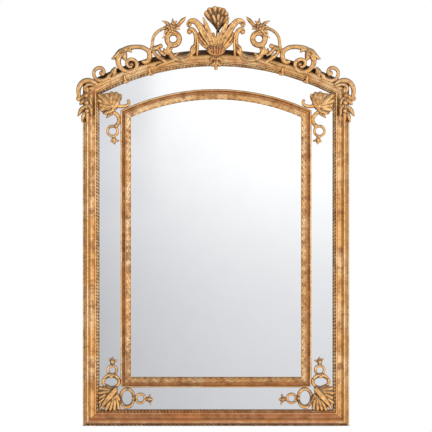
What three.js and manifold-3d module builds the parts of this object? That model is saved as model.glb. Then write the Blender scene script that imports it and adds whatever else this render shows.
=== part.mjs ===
// A French giltwood border-glass mirror with an arched top and a pierced, carved crest.
// Millimetres. +Z is up, the front faces -Y, the wall plane is Y = 0 and the underside is Z = 0.
// A depth is a height in front of the wall plane, so a point at depth d has Y = -d.

import * as THREE from 'three';
import { mergeVertices } from 'three/addons/utils/BufferGeometryUtils.js';
import Module from 'manifold-3d';

const wasm = await Module();
wasm.setup();

// ---- Driving dimensions: the outer frame ----
const FRAME_WIDTH = 1040;
const MOULDING_WIDTH = 65;
const ARCH_RADIUS = 1050;
const ARCH_CENTRE_HEIGHT = 420;
const ARCH_LEDGE = 17;              // bare strip of the back frame above the arched moulding
const MOULDING_DEPTH = 58;          // front of the torus on the straight lengths
const ARCH_MOULDING_DEPTH = 51;     // front of the torus on the arch

// ---- The inner frame and the glass ----
const BORDER_GLASS_WIDTH = 82;      // visible border glass at the sides
const BORDER_GLASS_BOTTOM = 86;
const BORDER_GLASS_TOP = 89;
const INNER_WIDTH = 41;
const INNER_DEPTH = 47;
const ARCH_RADII_APART = 178;      // from the outer arch's radius to the inner arch's
const SPINE_START = 15;             // spine of the inner moulding, from its outer edge
const SPINE_WIDTH = 11;
const GLASS_THICKNESS = 4;
const GLASS_LAP = 7;                // glass hidden under the outer moulding's lip

// ---- The back frame ----
const BACK_DEPTH = 22;
const BACK_WIDTH = 80;
const BOARD_THICKNESS = 11.7;
const BOARD_LAP = 18.5;             // seat of the boards on the back frame
const BOARD_JOINTS = [480, 930];    // heights of the joints between the backboards

// ---- Hangers ----
const HANGER_HEIGHT = 1080;         // height of the rings' pivots
const POCKET_WIDTH = 46;
const POCKET_DEPTH = 9;
const POCKET_ABOVE = 66;
const POCKET_BELOW = 44;
const STRAP_WIDTH = 24;
const STRAP_LENGTH = 56;
const STRAP_THICKNESS = 2.5;
const KNUCKLE_RADIUS = 3.8;
const KNUCKLE_WIDTH = 12;
const RING_WIRE_RADIUS = 2;
const RING_WIDTH = 30;
const RING_DROP = 30;
const SCREW_RADIUS = 2;
const SCREW_HEAD_RADIUS = 4;
const SCREW_HEAD_HEIGHT = 1.4;
const SCREW_LENGTH = 11;
const SCREW_SPACING = 26;
const SCREW_FIRST = 20;             // from the pivot up to the first screw

// ---- Carving ----
const CARVING_CLEARANCE = 0.3;
const CREST_DEPTH = 62;             // front of the scroll bands
const BAND_WIDTH = 16;              // width of the large scroll bands
const STEM_WIDTH = 12;
const CROWN_HEIGHT = 170;           // top of the crown leaf above the arch
const CROWN_DEPTH = 78;
const PALMETTE_SETBACK = 8;         // from the ledge to the back of the palmette
const SHELL_SETBACK = 34;           // from the ledge to the back of the base shell
const CARTOUCHE_DEPTH = 60;
const STRAP_DEPTH = 40;             // front of the cartouches' pierced straps
const CLEARANCE = 0.3;

// ---- Worked out from the driving dimensions ----
const HALF_WIDTH = FRAME_WIDTH / 2;
const OUTER = { half: HALF_WIDTH, bottom: 0, radius: ARCH_RADIUS, centre: ARCH_CENTRE_HEIGHT };
const inset = (loop, w) => ({
  half: loop.half - w, bottom: loop.bottom + w, radius: loop.radius - w, centre: loop.centre,
});
const SIGHT = inset(OUTER, MOULDING_WIDTH);
const INNER_ARCH_RADIUS = ARCH_RADIUS - ARCH_RADII_APART;
const INNER = {
  half: SIGHT.half - BORDER_GLASS_WIDTH,
  bottom: SIGHT.bottom + BORDER_GLASS_BOTTOM,
  radius: INNER_ARCH_RADIUS,
  centre: SIGHT.centre + SIGHT.radius - BORDER_GLASS_TOP - INNER_ARCH_RADIUS,
};
const shoulder = (loop) => loop.centre + Math.sqrt(loop.radius ** 2 - loop.half ** 2);
const FRONT_OF_BACK = BACK_DEPTH + CLEARANCE;
const GLASS_FRONT = FRONT_OF_BACK + GLASS_THICKNESS;
const LIP = GLASS_FRONT + CLEARANCE;
const SEAT = LIP + CARVING_CLEARANCE;

// ---- Materials ----
const finish = (color, roughness, metalness) =>
  new THREE.MeshStandardMaterial({ color, roughness, metalness });
const gilding = () => finish(0xc9985f, 0.38, 0.75);
const pine = () => finish(0x6b4a2e, 0.85, 0);
const mirror = () => finish(0xe2e4e8, 0.03, 1);
const brass = () => finish(0x8f7440, 0.45, 0.9);
const steel = () => finish(0x6d6b67, 0.5, 0.9);

// ---- Solids: closed meshes that can be joined and cut ----
function solid(geometry) {
  const bare = new THREE.BufferGeometry();
  bare.setAttribute('position', geometry.getAttribute('position').clone());
  if (geometry.index) bare.setIndex(geometry.index.clone());
  const merged = mergeVertices(bare, 1e-4);
  return new wasm.Manifold(new wasm.Mesh({
    numProp: 3,
    vertProperties: new Float32Array(merged.getAttribute('position').array),
    triVerts: new Uint32Array(merged.index.array),
  }));
}

function geometryOf(body) {
  const mesh = body.getMesh();
  const geometry = new THREE.BufferGeometry();
  geometry.setAttribute('position', new THREE.BufferAttribute(mesh.vertProperties, 3));
  geometry.setIndex(new THREE.BufferAttribute(mesh.triVerts, 1));
  return geometry;
}

const join = (bodies) => bodies.reduce((a, b) => a.add(b));
const cut = (body, tools) => tools.reduce((a, b) => a.subtract(b), body);

function mirrorX(body) {
  const geometry = geometryOf(body);
  geometry.scale(-1, 1, 1);
  const index = geometry.index.array;
  for (let i = 0; i < index.length; i += 3) [index[i], index[i + 1]] = [index[i + 1], index[i]];
  return solid(geometry);
}

const object = new THREE.Group();
function piece(name, body, material) {
  const mesh = new THREE.Mesh(geometryOf(body), material);
  mesh.name = name;
  object.add(mesh);
}

// A plate with an outline in X and Z, between two depths.
function plate(outline, back, front) {
  const geometry = new THREE.ExtrudeGeometry(outline, { depth: front - back, bevelEnabled: false });
  geometry.rotateX(Math.PI / 2);
  geometry.translate(0, -back, 0);
  return solid(geometry);
}

const shapeOf = (points) => new THREE.Shape(points.map(([x, y]) => new THREE.Vector2(x, y)));
const block = (x0, x1, back, front, z0, z1) =>
  plate(shapeOf([[x0, z0], [x1, z0], [x1, z1], [x0, z1]]), back, front);

// ---- Mouldings: a profile of [depth, distance in from the outer edge], run along the frame ----
// Every arc turns in the same steps from the apex, so that nested arcs stay parallel.
const ARCH_STEP = THREE.MathUtils.degToRad(4);
const archSteps = (loop) =>
  Math.ceil(Math.asin(Math.min(0.95, (loop.half * 1.08) / loop.radius)) / ARCH_STEP);
const archPoint = ({ radius, centre }, a) => [radius * Math.sin(a), centre + radius * Math.cos(a)];

class Arc extends THREE.Curve {
  constructor(loop) {
    super();
    this.loop = loop;
  }
  getPoint(t) {
    const [x, z] = archPoint(this.loop, archSteps(this.loop) * ARCH_STEP * (2 * t - 1));
    return new THREE.Vector3(x, 0, z);
  }
}

function run(profile, path, steps) {
  return new THREE.ExtrudeGeometry(shapeOf(profile), { extrudePath: path, steps, bevelEnabled: false });
}

function lengths(loop, sideProfile, archProfile) {
  const { half, bottom } = loop;
  const top = shoulder(loop) + MOULDING_WIDTH;
  const line = (x, z0, z1) => new THREE.LineCurve3(new THREE.Vector3(x, 0, z0), new THREE.Vector3(x, 0, z1));
  const lying = run(sideProfile, line(0, 0, 2 * half), 1).rotateY(-Math.PI / 2).translate(half, 0, bottom);
  return {
    left: solid(run(sideProfile, line(-half, bottom, top), 1)),
    right: solid(run(sideProfile, line(half, top, bottom), 1)),
    bottom: solid(lying),
    top: solid(run(archProfile, new Arc(loop), 2 * archSteps(loop))),
  };
}

// The mitre zones: each side keeps what lies between the mitre lines from outer to inner corners.
const MITRE_REACH = 70;
function zones(outer, inner, gap = 2 * CLEARANCE) {
  const corner = (loop, x, z) => new THREE.Vector2(x * loop.half, z > 0 ? shoulder(loop) : loop.bottom);
  const ends = (x, z) => {
    const a = corner(outer, x, z);
    const b = corner(inner, x, z);
    const along = b.clone().sub(a).normalize().multiplyScalar(MITRE_REACH);
    return [a.sub(along), b.add(along)];
  };
  const [bl, br, tl, tr] = [ends(-1, 0), ends(1, 0), ends(-1, 1), ends(1, 1)];
  const lift = (p, dz) => [p.x, p.y + dz];
  const side = (low, high) =>
    [lift(low[0], gap), lift(low[1], gap), lift(high[1], -gap), lift(high[0], -gap)];
  const ceiling = outer.centre + outer.radius + MITRE_REACH;
  const deep = (points) => plate(shapeOf(points), -10, 2 * MOULDING_DEPTH);
  return {
    left: deep(side(bl, tl)),
    right: deep(side(br, tr)),
    bottom: deep([lift(bl[0], 0), lift(br[0], 0), lift(br[1], 0), lift(bl[1], 0)]),
    top: deep([
      lift(tl[1], 0), lift(tr[1], 0), lift(tr[0], 0),
      [tr[0].x, ceiling], [tl[0].x, ceiling], lift(tl[0], 0)]),
  };
}

const SIDES = ['left', 'right', 'bottom', 'top'];
function mitred(bodies, cutters) {
  return Object.fromEntries(SIDES.map((side) => [side, bodies[side].intersect(cutters[side])]));
}

// Profile of the outer moulding: beaded edge, torus, cove, fillet, and a leafed edge at the glass.
const REBATE = MOULDING_WIDTH - GLASS_LAP - CLEARANCE;
function outerProfile(grow) {
  const top = MOULDING_DEPTH + grow;
  return [
    [FRONT_OF_BACK, -grow], [34 + grow, -grow], [36.5 + grow, 2], [36.5 + grow, 6], [35 + grow, 8 - grow],
    [top - 8, 9 - grow], [top - 2, 11.5 - grow], [top, 15.5], [top - 2, 19.5 + grow], [top - 9, 22.8 + grow],
    [42 + grow, 25.5], [39.5 + grow, 31], [39.8 + grow, 38], [43 + grow, 45], [47 + grow, 46.5],
    [48.5 + grow, 49.5], [47 + grow, 52.5], [42.5 + grow, 54], [42.5 + grow, 59], [40 + grow, 63],
    [36 + grow, MOULDING_WIDTH + grow], [LIP, MOULDING_WIDTH + grow], [LIP, REBATE], [FRONT_OF_BACK, REBATE],
  ];
}

// The same moulding on the arch, narrower by the ledge.
function archProfile(grow) {
  const top = ARCH_MOULDING_DEPTH + grow;
  const edge = ARCH_LEDGE - grow;
  return [
    [FRONT_OF_BACK, edge], [40 + grow, edge], [top - 3.5, edge + 1.5], [top, edge + 5.5 + grow],
    [top - 1.5, edge + 10.5 + grow], [top - 7, edge + 14 + grow], [40.5 + grow, 36], [39.8 + grow, 42],
    [42.5 + grow, 48.5], [45.5 + grow, 50.5], [45.5 + grow, 53], [41.5 + grow, 55], [41.5 + grow, 60],
    [36 + grow, MOULDING_WIDTH + grow], [LIP, MOULDING_WIDTH + grow], [LIP, REBATE], [FRONT_OF_BACK, REBATE],
  ];
}

// Profile of the inner moulding: torus, cove, and a wide carved band falling to the glass.
const SPINE_END = SPINE_START + SPINE_WIDTH;
function innerProfile(grow) {
  const top = INNER_DEPTH + grow;
  return [
    [LIP, -grow], [38 + grow, -grow], [top - 2.5, 1.2 - grow], [top, 4.2], [top - 2, 7.6 + grow],
    [40 + grow, 9.6 + grow], [36.8 + grow, 12.5], [36.8 + grow, 16], [40 + grow, 19], [44 + grow, 20.8],
    [43.6 + grow, 29],
    [38.5 + grow, 38], [34 + grow, INNER_WIDTH + grow], [LIP, INNER_WIDTH + grow], [LIP, SPINE_END],
    [FRONT_OF_BACK, SPINE_END], [FRONT_OF_BACK, SPINE_START], [LIP, SPINE_START],
  ];
}

function backProfile() {
  const seat = BACK_DEPTH - BOARD_THICKNESS;
  return [
    [0, 0], [BACK_DEPTH, 0], [BACK_DEPTH, BACK_WIDTH - BOARD_LAP], [seat, BACK_WIDTH - BOARD_LAP],
    [seat, BACK_WIDTH], [0, BACK_WIDTH],
  ];
}

const outerZones = zones(OUTER, SIGHT);
const outerMoulding = mitred(lengths(OUTER, outerProfile(0), archProfile(0)), outerZones);
const innerMoulding = mitred(
  lengths(INNER, innerProfile(0), innerProfile(0)), zones(INNER, inset(INNER, INNER_WIDTH)));
const backFrame = mitred(lengths(OUTER, backProfile(), backProfile()), outerZones);

// What the carvings are hollowed by, where they lie over a moulding: both frames, a little larger.
function cover() {
  const lap = -2 * CLEARANCE;
  const outer = mitred(
    lengths(OUTER, outerProfile(CARVING_CLEARANCE), archProfile(CARVING_CLEARANCE)),
    zones(OUTER, SIGHT, lap));
  const inner = mitred(
    lengths(INNER, innerProfile(CARVING_CLEARANCE), innerProfile(CARVING_CLEARANCE)),
    zones(INNER, inset(INNER, INNER_WIDTH), lap));
  return join([...Object.values(outer), ...Object.values(inner)]);
}
const mouldingCover = cover();

// ---- Panels: a sheet with an arched top that fills a loop, between two heights and two depths ----
function panel(loop, back, front, low = loop.bottom, high = loop.centre + loop.radius) {
  const steps = archSteps(loop);
  const arc = Array.from({ length: 2 * steps + 1 }, (_, i) => archPoint(loop, (i - steps) * ARCH_STEP));
  const under = plate(shapeOf([...arc, [arc.at(-1)[0], low - 1], [arc[0][0], low - 1]]), back, front);
  return under.intersect(block(-loop.half, loop.half, back - 1, front + 1, low, high));
}

function backboards() {
  const loop = inset(OUTER, BACK_WIDTH - BOARD_LAP + CLEARANCE);
  const back = BACK_DEPTH - BOARD_THICKNESS + CLEARANCE;
  const edges = [loop.bottom, ...BOARD_JOINTS];
  return edges.map((low, i) =>
    panel(loop, back, BACK_DEPTH, low + (i ? CLEARANCE : 0), edges[i + 1]));
}

function borderPlates() {
  const outside = inset(OUTER, REBATE + CLEARANCE);
  const inside = inset(INNER, SPINE_START - CLEARANCE);
  const ring = panel(outside, FRONT_OF_BACK, GLASS_FRONT).subtract(panel(inside, 0, MOULDING_DEPTH));
  return mitred({ left: ring, right: ring, bottom: ring, top: ring }, zones(SIGHT, INNER));
}

function frame() {
  const backNames = {
    left: 'back_stile_left', right: 'back_stile_right', bottom: 'back_rail_bottom', top: 'back_rail_top',
  };
  for (const side of SIDES) {
    const pocketed = { left: -1, right: 1 }[side];
    const body = pocketed ? cut(backFrame[side], hangerPocket(pocketed)) : backFrame[side];
    piece(backNames[side], body, pine());
  }
  backboards().forEach((board, i) => piece(`backboard_${i + 1}`, board, pine()));
  const glass = borderPlates();
  for (const side of SIDES) piece(`border_glass_${side}`, glass[side], mirror());
  piece('centre_glass', panel(inset(INNER, SPINE_END + CLEARANCE), FRONT_OF_BACK, GLASS_FRONT), mirror());
  for (const side of SIDES) piece(`outer_moulding_${side}`, outerMoulding[side], gilding());
  for (const side of SIDES) piece(`inner_moulding_${side}`, innerMoulding[side], gilding());
}

// ---- Hangers: a strap plate let into each stile, with a D-shaped ring hinged in its knuckle ----
const HANGER_X = HALF_WIDTH - (BACK_WIDTH - BOARD_LAP) / 2;
const PIVOT_DEPTH = POCKET_DEPTH - CLEARANCE - KNUCKLE_RADIUS;

function rod(radius, x0, x1, depth, z, sides = 12) {
  const geometry = new THREE.CylinderGeometry(radius, radius, x1 - x0, sides);
  geometry.rotateZ(Math.PI / 2);
  geometry.translate((x0 + x1) / 2, -depth, z);
  return solid(geometry);
}

const screwHeight = (i) => HANGER_HEIGHT + SCREW_FIRST + i * SCREW_SPACING;

function screwHoles(x) {
  const radius = SCREW_RADIUS + CLEARANCE;
  return [0, 1].map((i) => {
    const geometry = new THREE.CylinderGeometry(radius, radius, SCREW_LENGTH + 2, 12);
    geometry.translate(x, -(POCKET_DEPTH + SCREW_LENGTH / 2 - STRAP_THICKNESS), screwHeight(i));
    return solid(geometry);
  });
}

function hangerPocket(side) {
  const x = side * HANGER_X;
  const half = POCKET_WIDTH / 2;
  const hollow = block(
    x - half, x + half, -1, POCKET_DEPTH, HANGER_HEIGHT - POCKET_BELOW, HANGER_HEIGHT + POCKET_ABOVE);
  return [hollow, ...screwHoles(x)];
}

function hanger(side, name) {
  const x = side * HANGER_X;
  const floor = POCKET_DEPTH - CLEARANCE;
  const strap = block(
    x - STRAP_WIDTH / 2, x + STRAP_WIDTH / 2, floor - STRAP_THICKNESS, floor,
    HANGER_HEIGHT + RING_WIRE_RADIUS * 3,
    HANGER_HEIGHT + STRAP_LENGTH);
  const tongue = block(
    x - KNUCKLE_WIDTH / 2, x + KNUCKLE_WIDTH / 2, floor - STRAP_THICKNESS, floor, HANGER_HEIGHT,
    HANGER_HEIGHT + RING_WIRE_RADIUS * 3 + 1);
  const [start, end] = [x - KNUCKLE_WIDTH / 2, x + KNUCKLE_WIDTH / 2];
  const knuckle = rod(KNUCKLE_RADIUS, start, end, PIVOT_DEPTH, HANGER_HEIGHT, 16);
  const boreRadius = RING_WIRE_RADIUS + 2 * CLEARANCE;
  const bore = rod(boreRadius, x - KNUCKLE_WIDTH, x + KNUCKLE_WIDTH, PIVOT_DEPTH, HANGER_HEIGHT, 16);
  piece(`hanger_strap_${name}`, cut(join([strap, tongue, knuckle]), [bore, ...screwHoles(x)]), brass());

  const half = RING_WIDTH / 2 - RING_WIRE_RADIUS;
  const bar = rod(RING_WIRE_RADIUS, x - half, x + half, PIVOT_DEPTH, HANGER_HEIGHT);
  const drop = RING_DROP - RING_WIRE_RADIUS;
  const bend = [[1.02, 0.35], [0.85, 0.72], [0.45, 0.95]];
  const outline = [[-1, 0], ...bend.map(([u, v]) => [-u, v]), [0, 1], ...bend.toReversed(), [1, 0]];
  const bow = new THREE.CatmullRomCurve3(
    outline.map(([u, v]) => new THREE.Vector3(x + u * half, -PIVOT_DEPTH, HANGER_HEIGHT - v * drop)));
  const round = shapeOf(spiral([0, 0], [RING_WIRE_RADIUS, RING_WIRE_RADIUS], [0, 315], 8));
  const loop = solid(new THREE.ExtrudeGeometry(round, { extrudePath: bow, steps: 12, bevelEnabled: false }));
  piece(`hanger_ring_${name}`, join([loop, bar]), brass());

  [0, 1].forEach((i) => {
    const seat = floor - STRAP_THICKNESS - CLEARANCE;
    const profile = [
      [0, -SCREW_HEAD_HEIGHT], [SCREW_HEAD_RADIUS * 0.6, -SCREW_HEAD_HEIGHT * 0.75], [SCREW_HEAD_RADIUS, 0],
      [SCREW_RADIUS, 0], [SCREW_RADIUS, SCREW_LENGTH * 0.7], [0, SCREW_LENGTH],
    ].map(([r, d]) => new THREE.Vector2(r, d));
    const geometry = new THREE.LatheGeometry(profile, 8);
    geometry.rotateX(Math.PI);
    geometry.translate(x, -seat, screwHeight(i));
    piece(`hanger_screw_${name}_${i + 1}`, solid(geometry), steel());
  });
}

// ---- Carving: bands and leaves swept along a line, with a width and a front depth that vary ----
const BAND = [[-1, 0], [1, 0], [0.92, 0.72], [0, 1], [-0.92, 0.72]];
const LEAF = [[-1, 0], [1, 0], [0.8, 0.6], [0, 1], [-0.8, 0.6]];
const STRAP = [[-1, 0], [1, 0], [0.6, 1], [-0.6, 1]];

function along(list, t) {
  if (!Array.isArray(list)) return list;
  const at = t * (list.length - 1);
  const i = Math.min(list.length - 2, Math.floor(at));
  return list[i] + (list[i + 1] - list[i]) * (at - i);
}

function carve(points, widths, back, fronts, { section = BAND, steps = points.length } = {}) {
  const line = points.map(([x, z]) => new THREE.Vector3(x, 0, z));
  const spine = new THREE.CatmullRomCurve3(line, false, 'centripetal');
  const geometry = new THREE.ExtrudeGeometry(shapeOf(section), { depth: 1, steps, bevelEnabled: false });
  const position = geometry.getAttribute('position');
  for (let i = 0; i < position.count; i += 1) {
    const t = Math.min(1, Math.max(0, position.getZ(i)));
    const centre = spine.getPointAt(t);
    const tangent = spine.getTangentAt(t);
    const across = (position.getX(i) * along(widths, t)) / 2;
    const depth = back + position.getY(i) * (along(fronts, t) - back);
    position.setXYZ(i, centre.x - tangent.z * across, -depth, centre.z + tangent.x * across);
  }
  return solid(geometry);
}

// A ball-shaped knob flattened onto a back plane.
function knob([x, z], radius, back, front) {
  const geometry = new THREE.SphereGeometry(1, 8, 6);
  geometry.rotateX(Math.PI / 2);
  geometry.scale(radius, (front - back) / 2, radius);
  geometry.translate(x, -(front + back) / 2, z);
  return solid(geometry);
}

const FLOWER_BACK = CREST_DEPTH + CARVING_CLEARANCE;
const REACH = 2 * (ARCH_RADIUS + FRAME_WIDTH);
const inFrontOf = (depth) => block(-REACH, REACH, depth, depth + CREST_DEPTH, -REACH, REACH);

// Points of a spiral: radius and angle in degrees run evenly from start to end.
function spiral([u, v], [r0, r1], [a0, a1], count) {
  return Array.from({ length: count }, (_, i) => {
    const t = i / (count - 1);
    const a = THREE.MathUtils.degToRad(a0 + (a1 - a0) * t);
    const r = r0 + (r1 - r0) * t;
    return [u + r * Math.cos(a), v + r * Math.sin(a)];
  });
}

// Stations of the motifs along the right half of the arch, as shares of its length.
const MIDDLE = 0;
const FLOWER_STATION = 0.289;
const SCROLL_STATION = 0.581;
const VOLUTE_STATION = 0.860;
const EAR_STATION = 0.985;
const CLASP_STATIONS = [0.505, 0.700];

// A motif of the crest is drawn flat, u along the arch and v above it, for an arch 1040 wide with a
// radius of 1050. It is stretched along u to the arch's real length, and bent onto it at its station.
const HALF_ARCH = ARCH_RADIUS * Math.asin(HALF_WIDTH / ARCH_RADIUS);
const ARCH_STRETCH = HALF_ARCH / (1050 * Math.asin(520 / 1050));

function onArch(body, station) {
  return body.warp((point) => {
    const angle = (station * HALF_ARCH + point[0] * ARCH_STRETCH) / ARCH_RADIUS;
    const radius = ARCH_RADIUS + point[2];
    point[0] = radius * Math.sin(angle);
    point[2] = ARCH_CENTRE_HEIGHT + radius * Math.cos(angle);
  });
}

const BEHIND = FRONT_OF_BACK;       // the crest stands on the back frame's ledge
const PALMETTE_BACK = BEHIND + PALMETTE_SETBACK;
const SHELL_BACK = BEHIND + SHELL_SETBACK;
const overMoulding = (body) => body.subtract(mouldingCover);

function pair(name, body) {
  piece(`${name}_right`, body, gilding());
  piece(`${name}_left`, mirrorX(body), gilding());
}

function palmette() {
  const hub = 10;
  const blade = (points, widths, fronts) =>
    carve(points, widths, PALMETTE_BACK, fronts, { section: LEAF });
  const half = [
    blade([[8, hub], [30, 62], [52, 100], [78, 116], [97, 114], [104, 102], [96, 92]],
      [26, 26, 24, 24, 20, 16, 12], [52, 58, 64, 70, 70, 66, 60]),
    blade([[6, hub], [22, 56], [38, 96], [50, 126]], [24, 26, 22, 6], [52, 60, 66, 62]),
    blade([[4, hub], [9, 38], [12, 64]], [26, 28, 10], [52, 58, 56]),
    blade([[6, hub], [30, 38], [52, 50], [65, 60]], [30, 34, 26, 6], [50, 56, 58, 54]),
  ];
  const right = join(half);
  const shellSeat = SHELL_BACK - CARVING_CLEARANCE;
  const root = carve([[0, -ARCH_LEDGE - 0.5], [0, -4], [0, hub + 4]], [26, 32, 32], BEHIND,
    [38, shellSeat, shellSeat], { section: STRAP });
  return join([right, mirrorX(right), root]);
}

// The crown leaf stands behind the palmette on a tongue, and its lobes spread and lean forward above it.
function crownLeaf() {
  const root = [9, 72];
  const drops = [[-17, -8], [3, -1], [25, -7], [-37, -21], [37, -17]];
  const lobes = drops.map(([u, drop]) => [u, CROWN_HEIGHT + drop]);
  const tongue = carve([[5, 36], [7, 56], [9, 84]], [14, 14, 10], BEHIND, PALMETTE_BACK - CARVING_CLEARANCE);
  return join([tongue, ...lobes.map(([u, v]) => {
    const [ru, rv] = root;
    const lower = [ru + (u - ru) * 0.25, rv + (v - rv) * 0.4];
    const upper = [ru + (u - ru) * 0.7, rv + (v - rv) * 0.75];
    return carve([root, lower, upper, [u, v]], [8, 22, 28, 17], BEHIND,
      [PALMETTE_BACK, CROWN_DEPTH - 20, CROWN_DEPTH - 4, CROWN_DEPTH], { section: LEAF, steps: 5 });
  })]);
}

function baseShell() {
  const curlLine = spiral([17, 2], [20, 9], [100, -170], 9);
  const right = join([
    carve(curlLine, [15, 13, 11], SHELL_BACK, 68),
    carve([[0, 12], [10, 20], [20, 22]], [16, 14, 8], SHELL_BACK, 70),
  ]);
  const heart = carve([[0, -26], [0, -6], [0, 22]], [8, 26, 22], SHELL_BACK, [60, 70, 72], { section: LEAF });
  return join([right, mirrorX(right), heart]);
}

function bracket() {
  const stem = carve(
    [[103, 62], [106, 72], [98, 80], [88, 74], [80, 58], [77, 38], [80, 18], [88, 0], [96, -14]],
    [12, 16, 18, 20, 19, 18, 18, 20, 8], BEHIND, [58, CREST_DEPTH, CREST_DEPTH, CREST_DEPTH, CREST_DEPTH]);
  const foot = carve([[84, 8], [98, 2], [112, -6]], [14, 16, 5], BEHIND, [58, 60, 56], { section: LEAF });
  const strand = carve([[74, 40], [70, 20], [74, 0], [77, -24]], [10, 10, 10, 8], BEHIND, CREST_DEPTH);
  return join([stem, foot, strand]);
}

function archLeaf() {
  const rib = carve([[118, -18], [136, -21], [152, -18], [162, -9], [165, 3]], [10, 20, 18, 12, 4], BEHIND,
    [60, 64, 64, 62, 56], { section: LEAF });
  const lobe = carve([[128, -18], [142, -8], [150, 1]], [12, 14, 4], BEHIND, [58, 62, 56], { section: LEAF });
  return join([rib, lobe]);
}

function flowerScroll() {
  const band = carve(
    [[47, -28], [60, -8], [74, 10], [82, 28], [80, 52], [70, 76], [53, 94], [32, 102], [9, 100], [-12, 92],
      [-25, 74], [-27, 50], [-18, 30], [-2, 22], [14, 26], [24, 42]],
    [14, 15, 16, STEM_WIDTH + 2, STEM_WIDTH, STEM_WIDTH], BEHIND,
    [60, CREST_DEPTH, CREST_DEPTH, CREST_DEPTH, 58, 56], { steps: 24 });
  const stalk = carve([[8, 26], [24, 12], [28, -6], [22, -24]], [10, 12, 14, 6], BEHIND, [56, 60, 60, 56]);
  const leg = carve([[70, 26], [62, 6], [50, -12], [40, -24]], [12, 13, 13, 6], BEHIND, [58, 60, 60, 56]);
  const bud = carve([[72, 20], [58, 36], [52, 46]], [12, 16, 8], BEHIND, [58, 60, 54], { section: LEAF });
  return join([band, stalk, leg, bud]);
}

function flower() {
  const heart = [2, 84];
  const petals = [[30, 128, 16], [-4, 133, 17], [-52, 132, 17], [40, 62, 14], [36, 78, 14], [14, 122, 16]];
  return join([
    knob(heart, 18, FLOWER_BACK - 4, FLOWER_BACK + 12).intersect(inFrontOf(FLOWER_BACK)),
    ...petals.map(([u, v, width]) => carve(
      [heart, [heart[0] + (u - heart[0]) * 0.5, heart[1] + (v - heart[1]) * 0.55], [u, v]], [10, width, 3],
      FLOWER_BACK, [FLOWER_BACK + 7, FLOWER_BACK + 9, FLOWER_BACK + 3], { section: LEAF })),
  ]);
}

function archScroll() {
  const band = carve(
    [[28, 13], [12, 14], [-2, 1], [0, -18], [13, -31], [40, -29], [60, -17], [69, 5], [65, 24], [48, 41],
      [24, 54], [-2, 57], [-27, 51], [-46, 34], [-55, 13], [-49, -5], [-35, -12], [-24, -6]],
    [9, 12, 14, 14, BAND_WIDTH - 1, BAND_WIDTH + 1, BAND_WIDTH + 1, BAND_WIDTH, BAND_WIDTH, 13], BEHIND,
    [56, 58, CREST_DEPTH, CREST_DEPTH, CREST_DEPTH, CREST_DEPTH, 58], { steps: 30 });
  const tip = carve([[60, 30], [74, 36], [87, 39]], [16, 14, 3], BEHIND, [60, 58, 50], { section: LEAF });
  const leaf = carve([[56, 34], [46, 24], [42, 10]], [14, 12, 4], BEHIND, [60, 58, 52], { section: LEAF });
  const bar = carve([[-46, 26], [-56, 30], [-64, 26]], [12, 12, 10], BEHIND, [60, 60, 58]);
  return join([band, tip, leaf, bar]);
}

function smallVolute() {
  const band = carve(
    [[-56, 6], [-58, -10], [-46, -20], [-22, -26], [2, -22], [17, -8], [21, 12], [12, 26], [-6, 30],
      [-20, 20], [-20, 4], [-10, -3]],
    [8, 12, 13, 13, 13, 13, 13, 12, 12, 11, 10, 9], BEHIND, [54, 58, 60, 60, 60, 60, 60, 58, 56],
    { steps: 19 });
  const line = [[-57, 4], [-64, 13], [-72, 12]];
  const sprout = carve(line, [10, 14, 5], BEHIND, [56, 58, 52], { section: LEAF });
  return join([band, sprout]);
}

function earScroll() {
  const band = carve(
    [[-50, -42], [-40, -22], [-28, -7], [-12, 2], [6, 2], [22, -6], [34, -21], [40, -42]],
    [8, 12, 15, 16, 16, 16, 16, 14], BEHIND, [60, 62, 64, 66, 66, 66, 66, 62], { steps: 14 });
  const leaf = carve([[-42, -28], [-24, -15], [-6, -14], [8, -28]], [10, 16, 16, 5], BEHIND, [60, 64, 64, 58],
    { section: LEAF });
  const foot = carve([[36, -42], [46, -44], [57, -37]], [8, 12, 6], BEHIND, [56, 58, 54]);
  return join([band, leaf, foot]);
}

function sideDrop() {
  const top = shoulder(OUTER);
  const x = (u) => HALF_WIDTH - u;
  const back = BEHIND + 10;
  const leaf = (points, widths, fronts) =>
    carve(points.map(([u, v]) => [x(u), top + v]), widths, back, fronts, { section: LEAF });
  return overMoulding(join([
    leaf([[14, -54], [15, -86], [16, -118], [22, -156]], [24, 30, 28, 10], [66, 68, 68, 60]),
    leaf([[12, -72], [0, -80], [-12, -90]], [16, 16, 5], [64, 62, 54]),
    leaf([[12, -102], [-4, -112], [-20, -126]], [18, 18, 5], [66, 62, 52]),
    leaf([[14, -118], [4, -132], [-4, -148]], [16, 16, 5], [66, 64, 56]),
    leaf([[14, -100], [26, -116], [33, -136]], [16, 18, 5], [66, 66, 60]),
  ]));
}

function clasp() {
  const line = [[0, -ARCH_LEDGE - 19], [0, -50], [0, -MOULDING_WIDTH - 6]];
  const strap = carve(line, [12, 12, 12], FRONT_OF_BACK,
    [ARCH_MOULDING_DEPTH + 4, ARCH_MOULDING_DEPTH + 2, LIP + 22], { steps: 8 });
  return strap.intersect(inFrontOf(LIP));
}

function pendant() {
  const body = join([
    carve([[0, -32], [0, -52], [0, -79]], [30, 26, 5], FRONT_OF_BACK, [58, 58, 42], { section: LEAF }),
    carve([[0, -36], [14, -34], [24, -44]], [12, 14, 4], FRONT_OF_BACK, [58, 58, 52], { section: LEAF }),
    carve([[0, -36], [-14, -34], [-24, -44]], [12, 14, 4], FRONT_OF_BACK, [58, 58, 52], { section: LEAF }),
  ]);
  return body.intersect(inFrontOf(LIP));
}

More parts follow.
